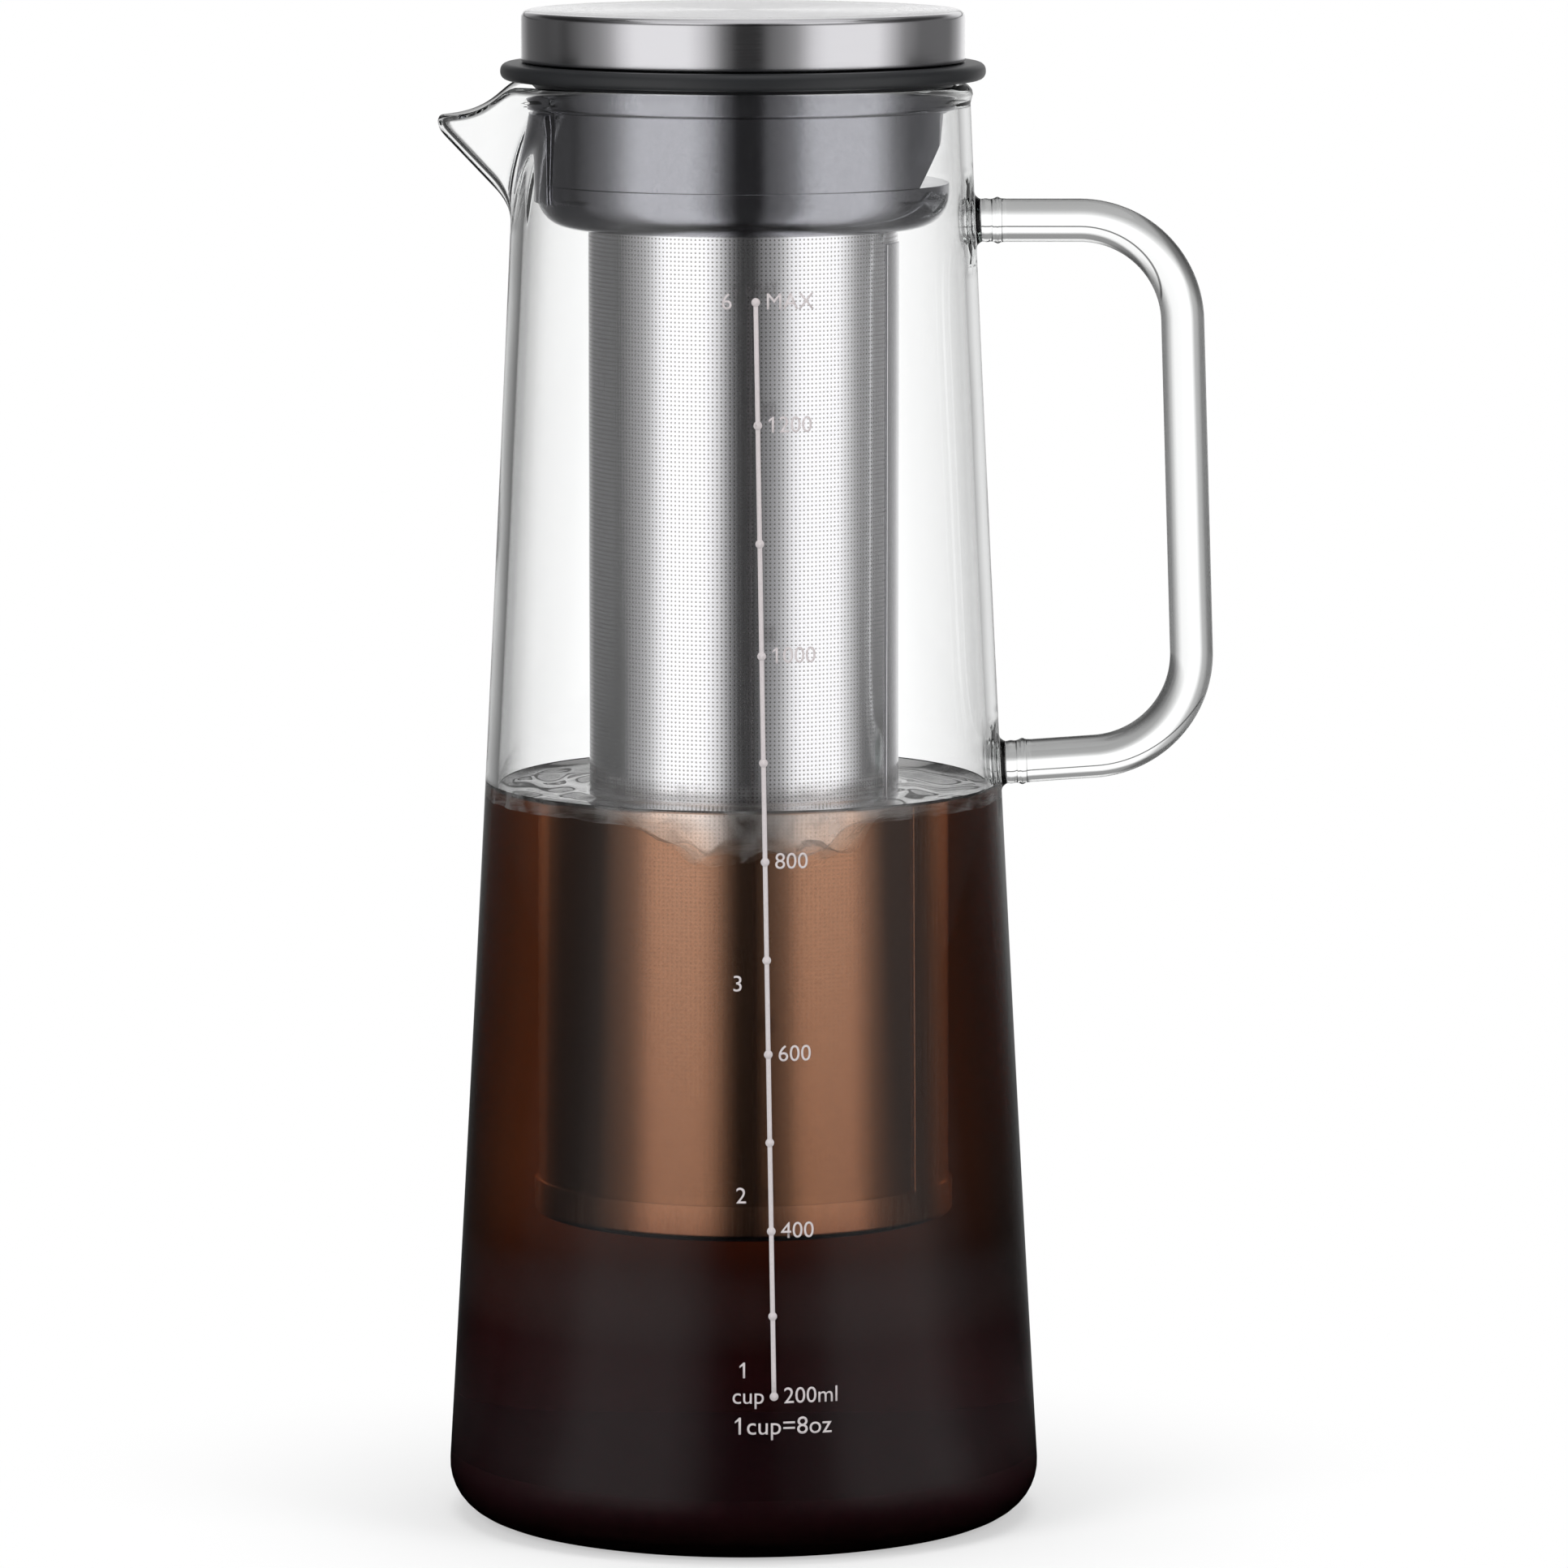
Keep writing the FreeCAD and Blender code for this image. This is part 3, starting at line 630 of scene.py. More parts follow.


# a dark layer on the floor of the coffee and up its corner: painted shade that keeps the base dark
def makeSilt():
    low, edge = glass["floor"] + 0.15, glass["wall"] + 0.3
    high, thick = coffee["shadeLayerHigh"], coffee["shadeLayer"]
    lowEdge, highEdge = sideRadius(low) - edge, sideRadius(high) - edge
    bm = spinProfile([
        (0, low), (lowEdge, low), (highEdge, high),
        (highEdge - thick, high), (lowEdge - thick, low + thick), (0, low + thick),
    ], 160, closed=False)
    corner = glass["corner"] - glass["wall"]
    roundRing(bm, lowEdge, low, corner, 8)
    roundRing(bm, lowEdge - thick, low + thick, corner - thick, 8)
    return bm


def coffeeMaterial(name, density, haze):
    material, tree, point = newMaterial(name)
    height = addNode(tree, "SeparateXYZ", {"Vector": point}).outputs["Z"]
    high = addNode(tree, "Math", {0: height, 1: (coffee["level"] - 1) * mm}, operation="GREATER_THAN")
    mirror = addNode(tree, "Mix", {  # its side lies in the glass and reflects nothing, its top does
        "Factor": high, "A": "#000000", "B": "#FFFFFF",
    }, data_type="RGBA")
    between = addNode(tree, "Attribute", attribute_name="parting")
    bend = addNode(tree, "MapRange", {"Value": between.outputs["Fac"], "To Min": 1.333, "To Max": 1.0})
    (thick, thin), (pale, red) = coffee["murkTo"], coffee["redTo"]
    # the coffee is made cloudier and darker towards the bottom
    murk = addNode(tree, "MapRange", {
        "Value": height, "From Min": thick * mm, "From Max": thin * mm,
        "To Min": coffee["lowCloudShare"], "To Max": coffee["bloom"],
    })
    smoke = addNode(tree, "TexNoise", {"Vector": point, "Scale": 1 / 0.011, "Detail": 5.0, "Distortion": 1.0})
    smokeShare = addNode(tree, "MapRange", {
        "Value": smoke, "From Min": 0.42, "From Max": 0.68, "To Min": 0.0, "To Max": haze,
    })
    cloudy = addNode(tree, "Math", {0: murk, 1: smokeShare}, operation="ADD")
    clear = addNode(tree, "Math", {0: 1.0, 1: cloudy}, operation="SUBTRACT")
    deep = addNode(tree, "MapRange", {"Value": height, "From Min": pale * mm, "From Max": red * mm})
    hue = addNode(tree, "Mix", {
        "Factor": deep, "A": "#FFFFFF", "B": "#7C464F",
    }, data_type="RGBA")
    shader = addNode(tree, "BsdfPrincipled", {
        "Base Color": hue, "Roughness": 0.0, "IOR": bend,
        "Transmission Weight": clear, "Specular Tint": mirror,
    })
    tint = addNode(tree, "VolumeAbsorption", {"Color": "#D3AA7C", "Density": density})
    addNode(tree, "OutputMaterial", {"Surface": shader, "Volume": tint})
    return material


# filtered coffee: clear, red where it is thin and nearly black through the whole jug
coldBrew = coffeeMaterial("coldBrewCoffee", coffee["density"], 0.0)
# the less steeped water on top of it: tan, and hazy with fine bubbles
paleBrew = coffeeMaterial("coldBrewCoffeePale", coffee["paleDensity"], coffee["haze"])

groundsShadeLayer, tree, point = newMaterial("groundsShadeLayer")
# painted shade in the colour of settled grounds: matt, dark, a little clotted
shadeLayerClots = addNode(tree, "TexNoise", {"Vector": point, "Scale": 1 / 0.002, "Detail": 4.0})
shadeLayerColour = addNode(tree, "Mix", {
    "Factor": shadeLayerClots, "A": "#54424A", "B": "#7C666C",
}, data_type="RGBA")
shadeLayerShader = addNode(tree, "BsdfPrincipled", {"Base Color": shadeLayerColour, "Roughness": 0.9})
addNode(tree, "OutputMaterial", {"Surface": shadeLayerShader})

addPiece("brewedCoffee", makeCoffee(), coldBrew, "carafe", sharpAngle=60)
addPiece("brewedCoffeePale", makePaleCoffee(), paleBrew, "carafe", sharpAngle=60)
addPiece("brewedCoffeeShadeLayer", makeSilt(), groundsShadeLayer, "carafe")
print("coffee done")


# sealing gasket: soft ring between the rim of the glass and the collar
gasket = {
    "bore": 33.5,
    "coneLowRadius": 36.0,
    "coneTopRadius": 37.5,
    "coneDepth": 1.5,
    "radius": 42.1,
    "edgeRound": 1.3,
}

silicone, tree, point = newMaterial("blackSiliconeMoulded")
# compression moulded: matt charcoal with a faint bloom and the tool's fine spark texture
siliconeGrain = addNode(tree, "TexNoise", {"Vector": point, "Scale": 1 / 0.0004, "Detail": 2.0})
siliconeBloom = addNode(tree, "TexNoise", {"Vector": point, "Scale": 1 / 0.012, "Detail": 3.0})
siliconeColour = addNode(tree, "Mix", {
    "Factor": siliconeBloom, "A": "#17181A", "B": "#212224",
}, data_type="RGBA")
siliconeBump = addNode(tree, "Bump", {
    "Height": siliconeGrain, "Strength": 0.5, "Distance": 0.00003,
})
siliconeShader = addNode(tree, "BsdfPrincipled", {
    "Base Color": siliconeColour, "Roughness": 0.42, "IOR": 1.41,
    "Normal": siliconeBump,
})
addNode(tree, "OutputMaterial", {"Surface": siliconeShader})


def makeGasket():
    low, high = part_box("sealing_gasket")[0].z / mm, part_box("sealing_gasket")[1].z / mm
    shelf = low + gasket["coneDepth"]
    bm = spinProfile([
        (gasket["bore"], low), (gasket["coneLowRadius"], low), (gasket["coneTopRadius"], shelf),
        (gasket["radius"], shelf), (gasket["radius"], high), (gasket["bore"], high),
    ], 192)
    for z in (shelf, high):
        roundRing(bm, gasket["radius"], z, gasket["edgeRound"], 6)
    return bm


addPiece("gasketRing", makeGasket(), silicone, "gasket", ("sealing_gasket",))
print("gasket done")


# pour collar and its base: one dark satin plug with a flat notch to pour through
collar = {
    "bore": 27.6,
    "radius": 35.8,
    "draft": 0.4,             # narrower by this under the bead
    "beadRadius": 36.8,
    "beadHigh": 250.2,
    "beadTall": 3.3,
    "beadRound": 1.3,
    "neck": 33.4,
    "flangeRadius": 35.0,
    "flangeLow": 255.1,
    "top": 256.3,
    "seatRadius": 31.6,
    "seatZ": 249.4,
    "splitZ": 234.2,
    "bottom": 226.4,
    "corner": 6.0,
    "edge": 0.35,
    "notch": [(29.7, 234.2), (33.3, 241.3), (33.9, 246.4)],
    "notchReach": 60.0,       # its cutter runs out past everything
    "shutterRadius": 36.3,
    "shutterLow": 231.0,
    "shutterHigh": 246.2,
    "shutterHalfAngle": 25.0,
    "shutterRoot": 1.5,       # how deep the pad starts inside the wall
    "columns": 180,
}

satinAbs, tree, point = newMaterial("darkAbsSatinMoulded")
# moulded ABS with a dark metallic pigment: soft stretched highlights, a little sparkle, faint flow lines
absFlake = addNode(tree, "TexVoronoi", {"Vector": point, "Scale": 1 / 0.00035})
absColour = addNode(tree, "Mix", {
    "Factor": absFlake.outputs["Color"], "A": "#8E8E94", "B": "#99999F",
}, data_type="RGBA")
absFlow = addNode(tree, "TexNoise", {"Vector": point, "Scale": 1 / 0.009, "Detail": 3.0})
absRough = addNode(tree, "MapRange", {
    "Value": absFlow, "From Min": 0.3, "From Max": 0.7, "To Min": 0.08, "To Max": 0.12,
})
absGrain = addNode(tree, "TexNoise", {"Vector": point, "Scale": 1 / 0.0003, "Detail": 1.0})
absBump = addNode(tree, "Bump", {"Height": absGrain, "Strength": 0.08, "Distance": 0.00001})
absShader = addNode(tree, "BsdfPrincipled", {
    "Base Color": absColour, "Metallic": 1.0, "Roughness": absRough,
    "Normal": absBump,
})
addNode(tree, "OutputMaterial", {"Surface": absShader})


def solidFromOutline(points, halfWidth):  # a bar along Y from a closed (x, z) outline
    bm = bmesh.new()
    face = bm.faces.new([bm.verts.new((x * mm, -halfWidth * mm, z * mm)) for x, z in points])
    grown = bmesh.ops.extrude_face_region(bm, geom=[face])["geom"]
    verts = [g for g in grown if isinstance(g, bmesh.types.BMVert)]
    bmesh.ops.translate(bm, verts=verts, vec=(0, 2 * halfWidth * mm, 0))
    bmesh.ops.recalc_face_normals(bm, faces=bm.faces[:])
    return bm


def ringSector(inner, outer, low, high, bearing, halfAngle, steps):
    bm = bmesh.new()
    corners = (inner, low), (outer, low), (outer, high), (inner, high)
    face = bm.faces.new([bm.verts.new((r * mm, 0, z * mm)) for r, z in corners])
    start = Matrix.Rotation(math.radians(bearing - halfAngle), 3, "Z")
    bmesh.ops.rotate(bm, verts=bm.verts[:], cent=(0, 0, 0), matrix=start)
    bmesh.ops.spin(
        bm, geom=[face], cent=(0, 0, 0), axis=(0, 0, 1), dvec=(0, 0, 0),
        angle=math.radians(2 * halfAngle), steps=steps, use_merge=False,
    )
    bmesh.ops.recalc_face_normals(bm, faces=bm.faces[:])
    return bm


def meshCopy(bm, name):  # a helper object for a Boolean modifier, taken away again after it
    mesh = bpy.data.meshes.new(name)
    bm.to_mesh(mesh)
    bm.free()
    helper = bpy.data.objects.new(name, mesh)
    scene.collection.objects.link(helper)
    return helper


def combine(bm, others):  # others are (operation, bmesh) pairs for the Boolean modifier
    base = meshCopy(bm, "base")
    helpers = [base]
    for operation, other in others:
        helper = meshCopy(other, "other")
        helpers.append(helper)
        modifier = base.modifiers.new("combine", "BOOLEAN")
        modifier.operation, modifier.object, modifier.solver = operation, helper, "EXACT"
    shown = base.evaluated_get(bpy.context.evaluated_depsgraph_get())
    result = bmesh.new()
    result.from_mesh(shown.to_mesh())
    shown.to_mesh_clear()
    for helper in helpers:
        bpy.data.objects.remove(helper)
    bmesh.ops.remove_doubles(result, verts=result.verts[:], dist=2e-6)
    return result


def softenEdges(piece, width, segments=2, degrees=30):
    bevel = piece.modifiers.new("edges", "BEVEL")
    bevel.width, bevel.segments = width * mm, segments
    bevel.limit_method, bevel.angle_limit = "ANGLE", math.radians(degrees)
    bevel.harden_normals = False
    piece.modifiers.new("normals", "WEIGHTED_NORMAL").keep_sharp = True


def notchCutter():
    (footX, footZ), (kneeX, kneeZ), (topX, topZ) = collar["notch"]
    past = collar["notchReach"]
    return solidFromOutline([(footX, footZ), (past, footZ), (past, topZ), (topX, topZ), (kneeX, kneeZ)], past)


def shutterPad(low, high):
    inner, outer = collar["radius"] - collar["shutterRoot"], collar["shutterRadius"]
    return ringSector(inner, outer, low, high, 180, collar["shutterHalfAngle"], 26)


def makeCollar():
    bore, side, split, bead = collar["bore"], collar["radius"], collar["splitZ"], collar["beadRadius"]
    beadHigh, beadLow = collar["beadHigh"], collar["beadHigh"] - collar["beadTall"]
    neck, flange, flangeLow = collar["neck"], collar["flangeRadius"], collar["flangeLow"]
    seat, seatZ, top = collar["seatRadius"], collar["seatZ"], collar["top"]
    bm = spinProfile([
        (bore, split), (side, split), (side - collar["draft"], beadLow), (bead, beadLow),
        (bead, beadHigh), (neck, beadHigh), (neck, flangeLow), (flange, flangeLow),
        (flange, top), (seat, top), (seat, seatZ), (bore, seatZ),
    ], collar["columns"])
    roundRing(bm, bead, beadLow, collar["beadRound"] * 0.95, 5)
    roundRing(bm, bead, beadHigh, collar["beadRound"], 5)
    shutter = shutterPad(collar["splitZ"], collar["shutterHigh"])
    return combine(bm, [("UNION", shutter), ("DIFFERENCE", notchCutter())])


def makeCollarBase():
    bore, side, bottom, split = (collar[key] for key in ("bore", "radius", "bottom", "splitZ"))
    bm = spinProfile([(bore, bottom), (side, bottom), (side, split), (bore, split)], collar["columns"])
    roundRing(bm, side, bottom, collar["corner"], 8)
    return combine(bm, [("UNION", shutterPad(collar["shutterLow"], collar["splitZ"]))])


collarPiece = addPiece("pourCollar", makeCollar(), satinAbs, "collar", ("pour_collar",))
softenEdges(collarPiece, collar["edge"])
collarFoot = addPiece(
    "pourCollarBase", makeCollarBase(), satinAbs, "collar", ("collar_base",),
)
softenEdges(collarFoot, collar["edge"] * 0.4)
print("collar done")


# filter basket: etched sheet tube with a flanged rim, a deep drawn base and a seam strip

etchedSteel, tree, point = newMaterial("stainlessSheetEtched")
# chemically etched 304 sheet: bright rolled metal pricked all over with fine dark holes in square rows
etchXyz = addNode(tree, "SeparateXYZ", {"Vector": point})
etchTurn = addNode(tree, "Math", {0: etchXyz.outputs["Y"], 1: etchXyz.outputs["X"]}, operation="ARCTAN2")
holesRound = round(2 * math.pi * basket["radius"] / basket["holePitch"])
etchWays = {  # steps from hole to hole, across and up
    "X": (etchTurn, holesRound / (2 * math.pi)), "Y": (etchXyz.outputs["Z"], 1 / (basket["holePitch"] * mm)),
}
for axis, (way, perStep) in etchWays.items():
    steps = addNode(tree, "Math", {0: way, 1: perStep}, operation="MULTIPLY")
    etchWays[axis] = addNode(tree, "Math", {0: steps, 1: 0.5}, operation="PINGPONG")
etchFlat = addNode(tree, "CombineXYZ", etchWays)
etchNear = addNode(tree, "VectorMath", {0: etchFlat}, operation="LENGTH")
etchHole = addNode(tree, "MapRange", {
    "Value": etchNear, "From Min": basket["holeRadius"] / basket["holePitch"] * 0.8,
    "From Max": basket["holeRadius"] / basket["holePitch"] * 1.2, "To Min": 1.0, "To Max": 0.0,
})
etchLow = addNode(tree, "Math", {
    0: etchXyz.outputs["Z"], 1: (basket["baseTop"] + basket["plainMargin"]) * mm,
}, operation="GREATER_THAN")
etchHigh = addNode(tree, "Math", {
    0: etchXyz.outputs["Z"], 1: (basket["rimLow"] - basket["rimSkirt"] - basket["plainMargin"]) * mm,
}, operation="LESS_THAN")
etchBand = addNode(tree, "Math", {0: etchLow, 1: etchHigh}, operation="MULTIPLY")
etchWet = addNode(tree, "MapRange", {  # holes full of coffee hardly show
    "Value": etchXyz.outputs["Z"], "To Min": 0.3, "To Max": 1.0,
    "From Min": (coffee["level"] - 2) * mm, "From Max": (coffee["level"] + 1) * mm,
})
etchShown = addNode(tree, "Math", {0: etchBand, 1: etchWet}, operation="MULTIPLY")
etchMask = addNode(tree, "Math", {0: etchHole, 1: etchShown}, operation="MULTIPLY")
# the sheet's colour runs from darker low down to lighter higher up
etchHeightTone = addNode(tree, "MapRange", {
    "Value": etchXyz.outputs["Z"], "From Min": basket["sheetDarkLow"] * mm, "From Max": basket["sheetDarkHigh"] * mm,
})
etchSheet = addNode(tree, "Mix", {
    "Factor": etchHeightTone, "A": "#CCCCCE", "B": "#E4E3E6",
}, data_type="RGBA")
etchColour = addNode(tree, "Mix", {
    "Factor": etchMask, "A": etchSheet, "B": "#9C9A98",
}, data_type="RGBA")
etchRough = addNode(tree, "MapRange", {"Value": etchMask, "To Min": 0.13, "To Max": 0.24})
etchBump = addNode(tree, "Bump", {
    "Height": etchMask, "Strength": 0.12, "Distance": 0.00005,
}, invert=True)
etchShader = addNode(tree, "BsdfPrincipled", {
    "Base Color": etchColour, "Metallic": 1.0, "Roughness": etchRough,
    "Normal": etchBump,
})
addNode(tree, "OutputMaterial", {"Surface": etchShader})

rolledSteel, tree, point = newMaterial("stainlessSheetDrawn")
# cold rolled and deep drawn 304: bright, with faint upright draw marks
drawnStretch = addNode(tree, "Mapping", {"Vector": point, "Scale": (1 / 0.0006, 1 / 0.0006, 1 / 0.02)})
drawnMarks = addNode(tree, "TexNoise", {"Vector": drawnStretch, "Scale": 1.0, "Detail": 3.0})
drawnRough = addNode(tree, "MapRange", {
    "Value": drawnMarks, "From Min": 0.3, "From Max": 0.7, "To Min": 0.12, "To Max": 0.2,
})
drawnBump = addNode(tree, "Bump", {"Height": drawnMarks, "Strength": 0.12, "Distance": 0.00001})
drawnShader = addNode(tree, "BsdfPrincipled", {
    "Base Color": "#DAD9DC", "Metallic": 1.0, "Roughness": drawnRough,
    "Normal": drawnBump,
})
addNode(tree, "OutputMaterial", {"Surface": drawnShader})


def tubeRows(outer, inner, low, high, count):
    steps = [low + (high - low) * i / count for i in range(count + 1)]
    return [(outer, z) for z in steps] + [(inner, z) for z in reversed(steps)]


def makeFilterTube():
    outer, low = basket["radius"], basket["bottom"] + basket["baseSheet"]
    return spinProfile(tubeRows(outer, outer - basket["sheet"], low, basket["rimLow"], 20), basket["columns"])


def makeFilterRim():
    inner, outer = basket["radius"] - basket["sheet"], basket["rimRadius"]
    low, top, thin = basket["rimLow"], basket["rimLow"] + basket["rimThick"], inner - basket["rimSheet"]
    skirt = low - basket["rimSkirt"]
    bm = spinProfile([
        (thin, skirt), (inner, skirt), (inner, low), (outer, low), (outer, top), (thin, top),
    ], basket["columns"])
    for z in (low, top):
        roundRing(bm, outer, z, basket["rimRound"], 4)
    return bm


def makeFilterBase():
    inner, outer = basket["radius"], basket["baseRadius"]
    bottom, top, floorTop = basket["bottom"], basket["baseTop"], basket["bottom"] + basket["baseSheet"]
    bm = spinProfile([
        (0, bottom), (outer, bottom), (outer, top), (inner, top), (inner, floorTop), (0, floorTop),
    ], basket["columns"], closed=False)
    roundRing(bm, outer, bottom, basket["baseRound"], 5)
    return bm


def makeSeam():
    halfAngle = math.degrees(basket["seamWidth"] / 2 / basket["radius"])
    return ringSector(
        basket["radius"] - 0.05, basket["radius"] + basket["seamThick"], basket["baseTop"], basket["seamTop"],
        basket["seamBearing"], halfAngle, 12,
    )


addPiece("filterTube", makeFilterTube(), etchedSteel, "basket", ("filter_mesh",))
rimPiece = addPiece("filterRim", makeFilterRim(), rolledSteel, "basket", ("filter_rim",))
softenEdges(rimPiece, basket["edge"])
addPiece("filterBase", makeFilterBase(), rolledSteel, "basket", ("filter_base",))
seamPiece = addPiece("filterSeam", makeSeam(), rolledSteel, "basket", ("filter_seam_strip",))
softenEdges(seamPiece, basket["seamEdge"])
print("filter basket done")


# lid: brushed steel cap over a moulded plug with a sealing ring
lid = {
    "radius": 38.5,
    "low": 255.1,
    "top": 263.9,
    "sheet": 0.6,
    "edgeRound": 1.3,
    "coreWall": 2.0,
    "coreGap": 0.2,
    "plugRadius": 31.0,
    "plugWall": 2.4,
    "plugLow": 250.8,
    "ringRadius": 30.5,
    "ringZ": 252.8,
    "ringWire": 0.85,
    "grooveSide": 0.1,
    "rings": (14, 28),        # rows of the cap's flat top
    "lowRound": 0.25,
    "coreClear": 0.01,
    "coreEdge": 0.15,
}

brushedSteel, tree, point = newMaterial("stainlessSteelBrushed")
# spun cap, brushed on the lathe with fine grit: hair lines run round it and stretch the highlights
brushXyz = addNode(tree, "SeparateXYZ", {"Vector": point})
brushTurn = addNode(tree, "Math", {0: brushXyz.outputs["Y"], 1: brushXyz.outputs["X"]}, operation="ARCTAN2")
brushFlat = addNode(tree, "CombineXYZ", {"X": brushXyz.outputs["X"], "Y": brushXyz.outputs["Y"]})
brushOut = addNode(tree, "VectorMath", {0: brushFlat}, operation="LENGTH")
brushLine = 0.00018           # hair lines of about 120 grit, in metres
brushWays = {"X": (brushOut, 1 / brushLine), "Y": (brushTurn, 5.0), "Z": (brushXyz.outputs["Z"], 1 / brushLine)}
for axis, (way, perLine) in brushWays.items():
    brushWays[axis] = addNode(tree, "Math", {0: way, 1: perLine}, operation="MULTIPLY")
brushSpace = addNode(tree, "CombineXYZ", brushWays)
brushHair = addNode(tree, "TexNoise", {"Vector": brushSpace, "Scale": 1.0, "Detail": 3.0})
brushRough = addNode(tree, "MapRange", {
    "Value": brushHair, "From Min": 0.3, "From Max": 0.7, "To Min": 0.12, "To Max": 0.2,
})
brushBump = addNode(tree, "Bump", {"Height": brushHair, "Strength": 0.12, "Distance": 0.00001})
brushAlong = addNode(tree, "VectorMath", {0: (0.0, 0.0, 1.0), 1: point}, operation="CROSS_PRODUCT")
brushTangent = addNode(tree, "VectorTransform", {
    "Vector": brushAlong,
}, vector_type="VECTOR", convert_from="OBJECT", convert_to="WORLD")
brushShader = addNode(tree, "BsdfPrincipled", {
    "Base Color": "#BEBDC0", "Metallic": 1.0, "Roughness": brushRough,
    "Anisotropic": 0.6, "Anisotropic Rotation": 0.25, "Tangent": brushTangent, "Normal": brushBump,
})
addNode(tree, "OutputMaterial", {"Surface": brushShader})

corePlastic, tree, point = newMaterial("blackPolypropyleneMoulded")
# moulded polypropylene: waxy black with a soft sheen
coreCloud = addNode(tree, "TexNoise", {"Vector": point, "Scale": 1 / 0.006, "Detail": 3.0})
coreRough = addNode(tree, "MapRange", {"Value": coreCloud, "To Min": 0.32, "To Max": 0.48})
coreShader = addNode(tree, "BsdfPrincipled", {
    "Base Color": "#26272A", "Roughness": coreRough, "IOR": 1.49,
})
addNode(tree, "OutputMaterial", {"Surface": coreShader})


def makeCap():
    outer, sheet, low, top = lid["radius"], lid["sheet"], lid["low"], lid["top"]
    inner, under = outer - sheet, top - sheet
    flat = [(r, top) for r in (0, *lid["rings"], outer)]
    bm = spinProfile(flat + [(outer, low), (inner, low), (inner, under), (0, under)], 192, closed=False)
    roundRing(bm, outer, top, lid["edgeRound"], 8)
    roundRing(bm, inner, under, lid["edgeRound"] - sheet, 4)
    for radius in (outer, inner):
        roundRing(bm, radius, low, lid["lowRound"], 3)
    return bm


def makeCore():
    under = lid["sheet"] + lid["coreClear"]
    outer, top, low = lid["radius"] - under, lid["top"] - under, lid["low"] + lid["coreGap"]
    web = top - lid["coreWall"]
    plug, plugIn = lid["plugRadius"], lid["plugRadius"] - lid["plugWall"]
    grooveIn = lid["ringRadius"] - lid["ringWire"]
    half = lid["ringWire"] + lid["grooveSide"]
    bm = spinProfile([
        (0, web), (plugIn, web), (plugIn, lid["plugLow"]), (plug, lid["plugLow"]),
        (plug, lid["ringZ"] - half), (grooveIn, lid["ringZ"] - half),
        (grooveIn, lid["ringZ"] + half), (plug, lid["ringZ"] + half), (plug, web),
        (outer - lid["coreWall"], web), (outer - lid["coreWall"], low), (outer, low), (outer, top), (0, top),
    ], 160, closed=False)
    roundRing(bm, outer, top, lid["edgeRound"] - lid["sheet"], 4)
    return bm


def makeRing():
    wire = [(lid["ringRadius"] + lid["ringWire"] * math.cos(math.pi * i / 8),
             lid["ringZ"] + lid["ringWire"] * math.sin(math.pi * i / 8)) for i in range(16)]
    return spinProfile(wire, 160)


addPiece("lidCap", makeCap(), brushedSteel, "lid", ("lid_cap",))
corePiece = addPiece("lidCore", makeCore(), corePlastic, "lid", ("lid_core",))
softenEdges(corePiece, lid["coreEdge"])
addPiece("lidSealRing", makeRing(), silicone, "lid", ("lid_seal_ring",), sharpAngle=80)
print("lid done")


# measuring scale fired on to the front of the glass
scale = {
    "marks": [(200, 29.4), (300, 43.2), (400, 57.8), (500, 73.0), (600, 88.1), (700, 104.2), (800, 121.0),
              (900, 137.9), (1000, 156.1), (1100, 175.2), (1200, 195.3)],
    "fullMark": 216.2,
    "cups": [("1", 33.8), ("2", 63.8), ("3", 100.1), ("6", 216.2)],
    "cupX": 1.3,
    "cupLean": 0.95,          # share of the line's lean that the cups' column takes
    "noteZ": 24.2,
    "noteTall": 3.0,
    "lineLow": 29.4,
    "lineAtLow": 5.4,         # the line leans with the taper of the glass
    "lineAtTop": 2.3,
    "lineWidth": 0.8,
    "dot": 0.75,
    "digitTall": 2.75,
    "inkProud": 0.03,
    "inkThick": 0.02,
    "fontCapital": 0.70,      # height of the font's capitals as a share of its size
    "gap": 1.6,               # between the line and the figures
    "lineSteps": 60,
}

ceramicInk, tree, point = newMaterial("ceramicEnamelPrinted")
# screen printed and fired enamel: opaque pale grey, dry, with pinholes between the screen's threads
inkSpeck = addNode(tree, "TexNoise", {"Vector": point, "Scale": 1 / 0.0003, "Detail": 2.0})
inkColour = addNode(tree, "Mix", {
    "Factor": inkSpeck, "A": "#AEA7A8", "B": "#C8C1C2",
}, data_type="RGBA")
inkShader = addNode(tree, "BsdfPrincipled", {"Base Color": inkColour, "Roughness": 0.55})
addNode(tree, "OutputMaterial", {"Surface": inkShader})


def lineX(z):
    share = (z - scale["lineLow"]) / (scale["fullMark"] - scale["lineLow"])
    return scale["lineAtLow"] + (scale["lineAtTop"] - scale["lineAtLow"]) * share


def addWriting(bm, words, x, z, tall, alignment="LEFT"):
    writing = bpy.data.curves.new("writing", "FONT")
    writing.body, writing.size = words, tall / scale["fontCapital"] * mm
    writing.align_x, writing.align_y = alignment, "CENTER"
    writing.resolution_u = 4
    holder = bpy.data.objects.new("writing", writing)
    scene.collection.objects.link(holder)
    mesh = bpy.data.meshes.new_from_object(holder)
    mesh.transform(Matrix.Translation(Vector((x, z, 0)) * mm))
    bm.from_mesh(mesh)
    if words.startswith("1"):  # the font's 1 is a plain bar, so it gets a flag
        left = min(v.co.x for v in mesh.vertices) / mm + 0.05 * tall
        high = max(v.co.y for v in mesh.vertices if v.co.x / mm < left + 0.1 * tall) / mm
        outline = [(0, 0), (-0.26, -0.22), (-0.26, -0.34), (0, -0.16)]
        bm.faces.new([bm.verts.new(Vector((left + a * tall, high + b * tall, 0)) * mm) for a, b in outline])
    bpy.data.objects.remove(holder)
    bpy.data.meshes.remove(mesh)


